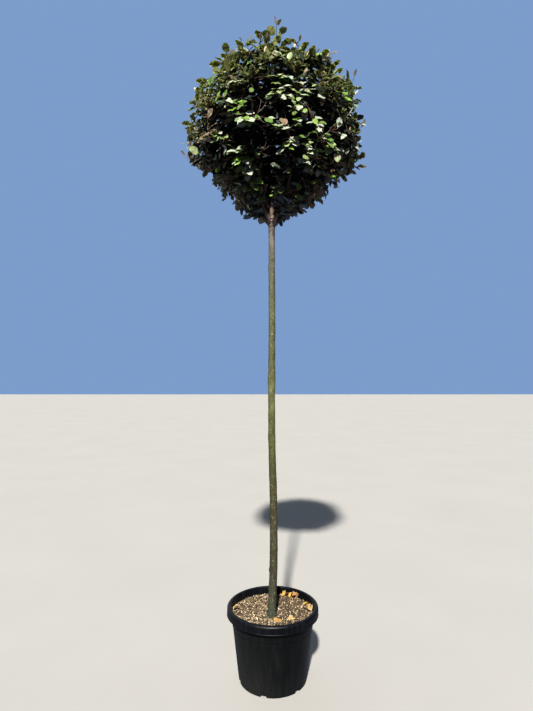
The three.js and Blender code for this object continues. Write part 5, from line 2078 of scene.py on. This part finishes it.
# %% Fallen leaves
# Sideways and backwards place, direction in degrees, size as a share of a fresh leaf, how far it stands up,
# and the number of its tint.
FALLEN = np.array([
    [0.016, -0.050, 15, 0.70, 0.10, 0],
    [0.030, -0.056, -30, 0.50, 0.30, 2],
    [0.086, -0.040, 70, 0.95, 0.15, 1],
    [0.100, -0.052, 20, 0.55, 0.20, 1],
    [0.062, 0.180, 100, 0.80, 0.70, 0],
    [0.048, 0.172, 160, 0.60, 0.30, 1],
    [0.098, 0.160, 70, 0.75, 0.50, 0],
    [0.128, 0.128, 0, 0.55, 0.20, 1],
    [0.170, 0.075, 30, 0.70, 0.30, 0],
    [0.186, 0.046, 80, 0.60, 0.30, 1],
    [0.165, 0.035, 140, 0.45, 0.20, 2],
    [0.076, 0.176, 20, 0.65, 0.60, 3],
    [0.118, 0.150, -20, 0.85, 0.50, 2],
    [0.134, 0.140, 60, 0.65, 0.80, 3],
    [0.178, 0.056, 120, 0.75, 0.50, 1],
    [0.188, 0.022, 100, 1.10, 0.35, 1],
    [-0.178, 0.006, 12, 0.75, 1.40, 1],
    [-0.180, 0.004, 60, 0.45, 0.20, 3],
    [-0.168, -0.030, 130, 0.40, 0.10, 3],
    [-0.060, -0.150, 160, 0.40, 0.10, 3],
    [-0.090, 0.130, 30, 0.40, 0.10, 3],
])
DRY_TINTS = {
    "dry_yellow": (0.33, 0.205, 0.045),
    "dry_straw": (0.34, 0.240, 0.110),
    "dry_orange": (0.23, 0.122, 0.034),
    "dry_brown": (0.105, 0.060, 0.024),
}
CURL = 2.6
FALLEN_RISE = 0.004
FALLEN_TILT = 0.7
FALLEN_WIDTHS = (0.7, 1.1)

dice = np.random.default_rng(17)
fallen_turn = np.radians(FALLEN[:, 2])
fallen_way = np.stack([np.cos(fallen_turn), np.sin(fallen_turn), FALLEN[:, 4]], -1)
fallen_length = FALLEN[:, 3] * LEAF_LENGTH
fallen_base = np.column_stack([FALLEN[:, :2], soil_height(FALLEN[:, 0], FALLEN[:, 1]) + FALLEN_RISE])
fallen_base[:, :2] -= 0.5 * fallen_way[:, :2] * fallen_length[:, None]
lying = {
    "base": fallen_base,
    "way": fallen_way,
    "face": UP + dice.uniform(-FALLEN_TILT, FALLEN_TILT, fallen_base.shape),
    "length": fallen_length,
    "width": dice.uniform(*FALLEN_WIDTHS, len(FALLEN)),
    "curl": np.full((len(FALLEN), 1), CURL),
}
every = np.arange(len(FALLEN))
dry_paints = [new_material(name, base_color=tint, roughness=0.6) for name, tint in DRY_TINTS.items()]
fallen_tint = FALLEN[:, 5].astype(int)
groups = [(every, lying, FULL_ROWS)]
fallen = leaf_piece("fallen_leaves", groups, dry_paints, dice, fallen_tint, fallen_tint)
belongs(fallen, "foliage")

# %% [markdown]
# Sizes
#
# The looks mustn't change the plant's size, so the box of what is shown is worked out here, and the
# triangles are counted.

# %% Sizes and the end
low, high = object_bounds()
print("triangles in all:", sum(count for name, count in made))
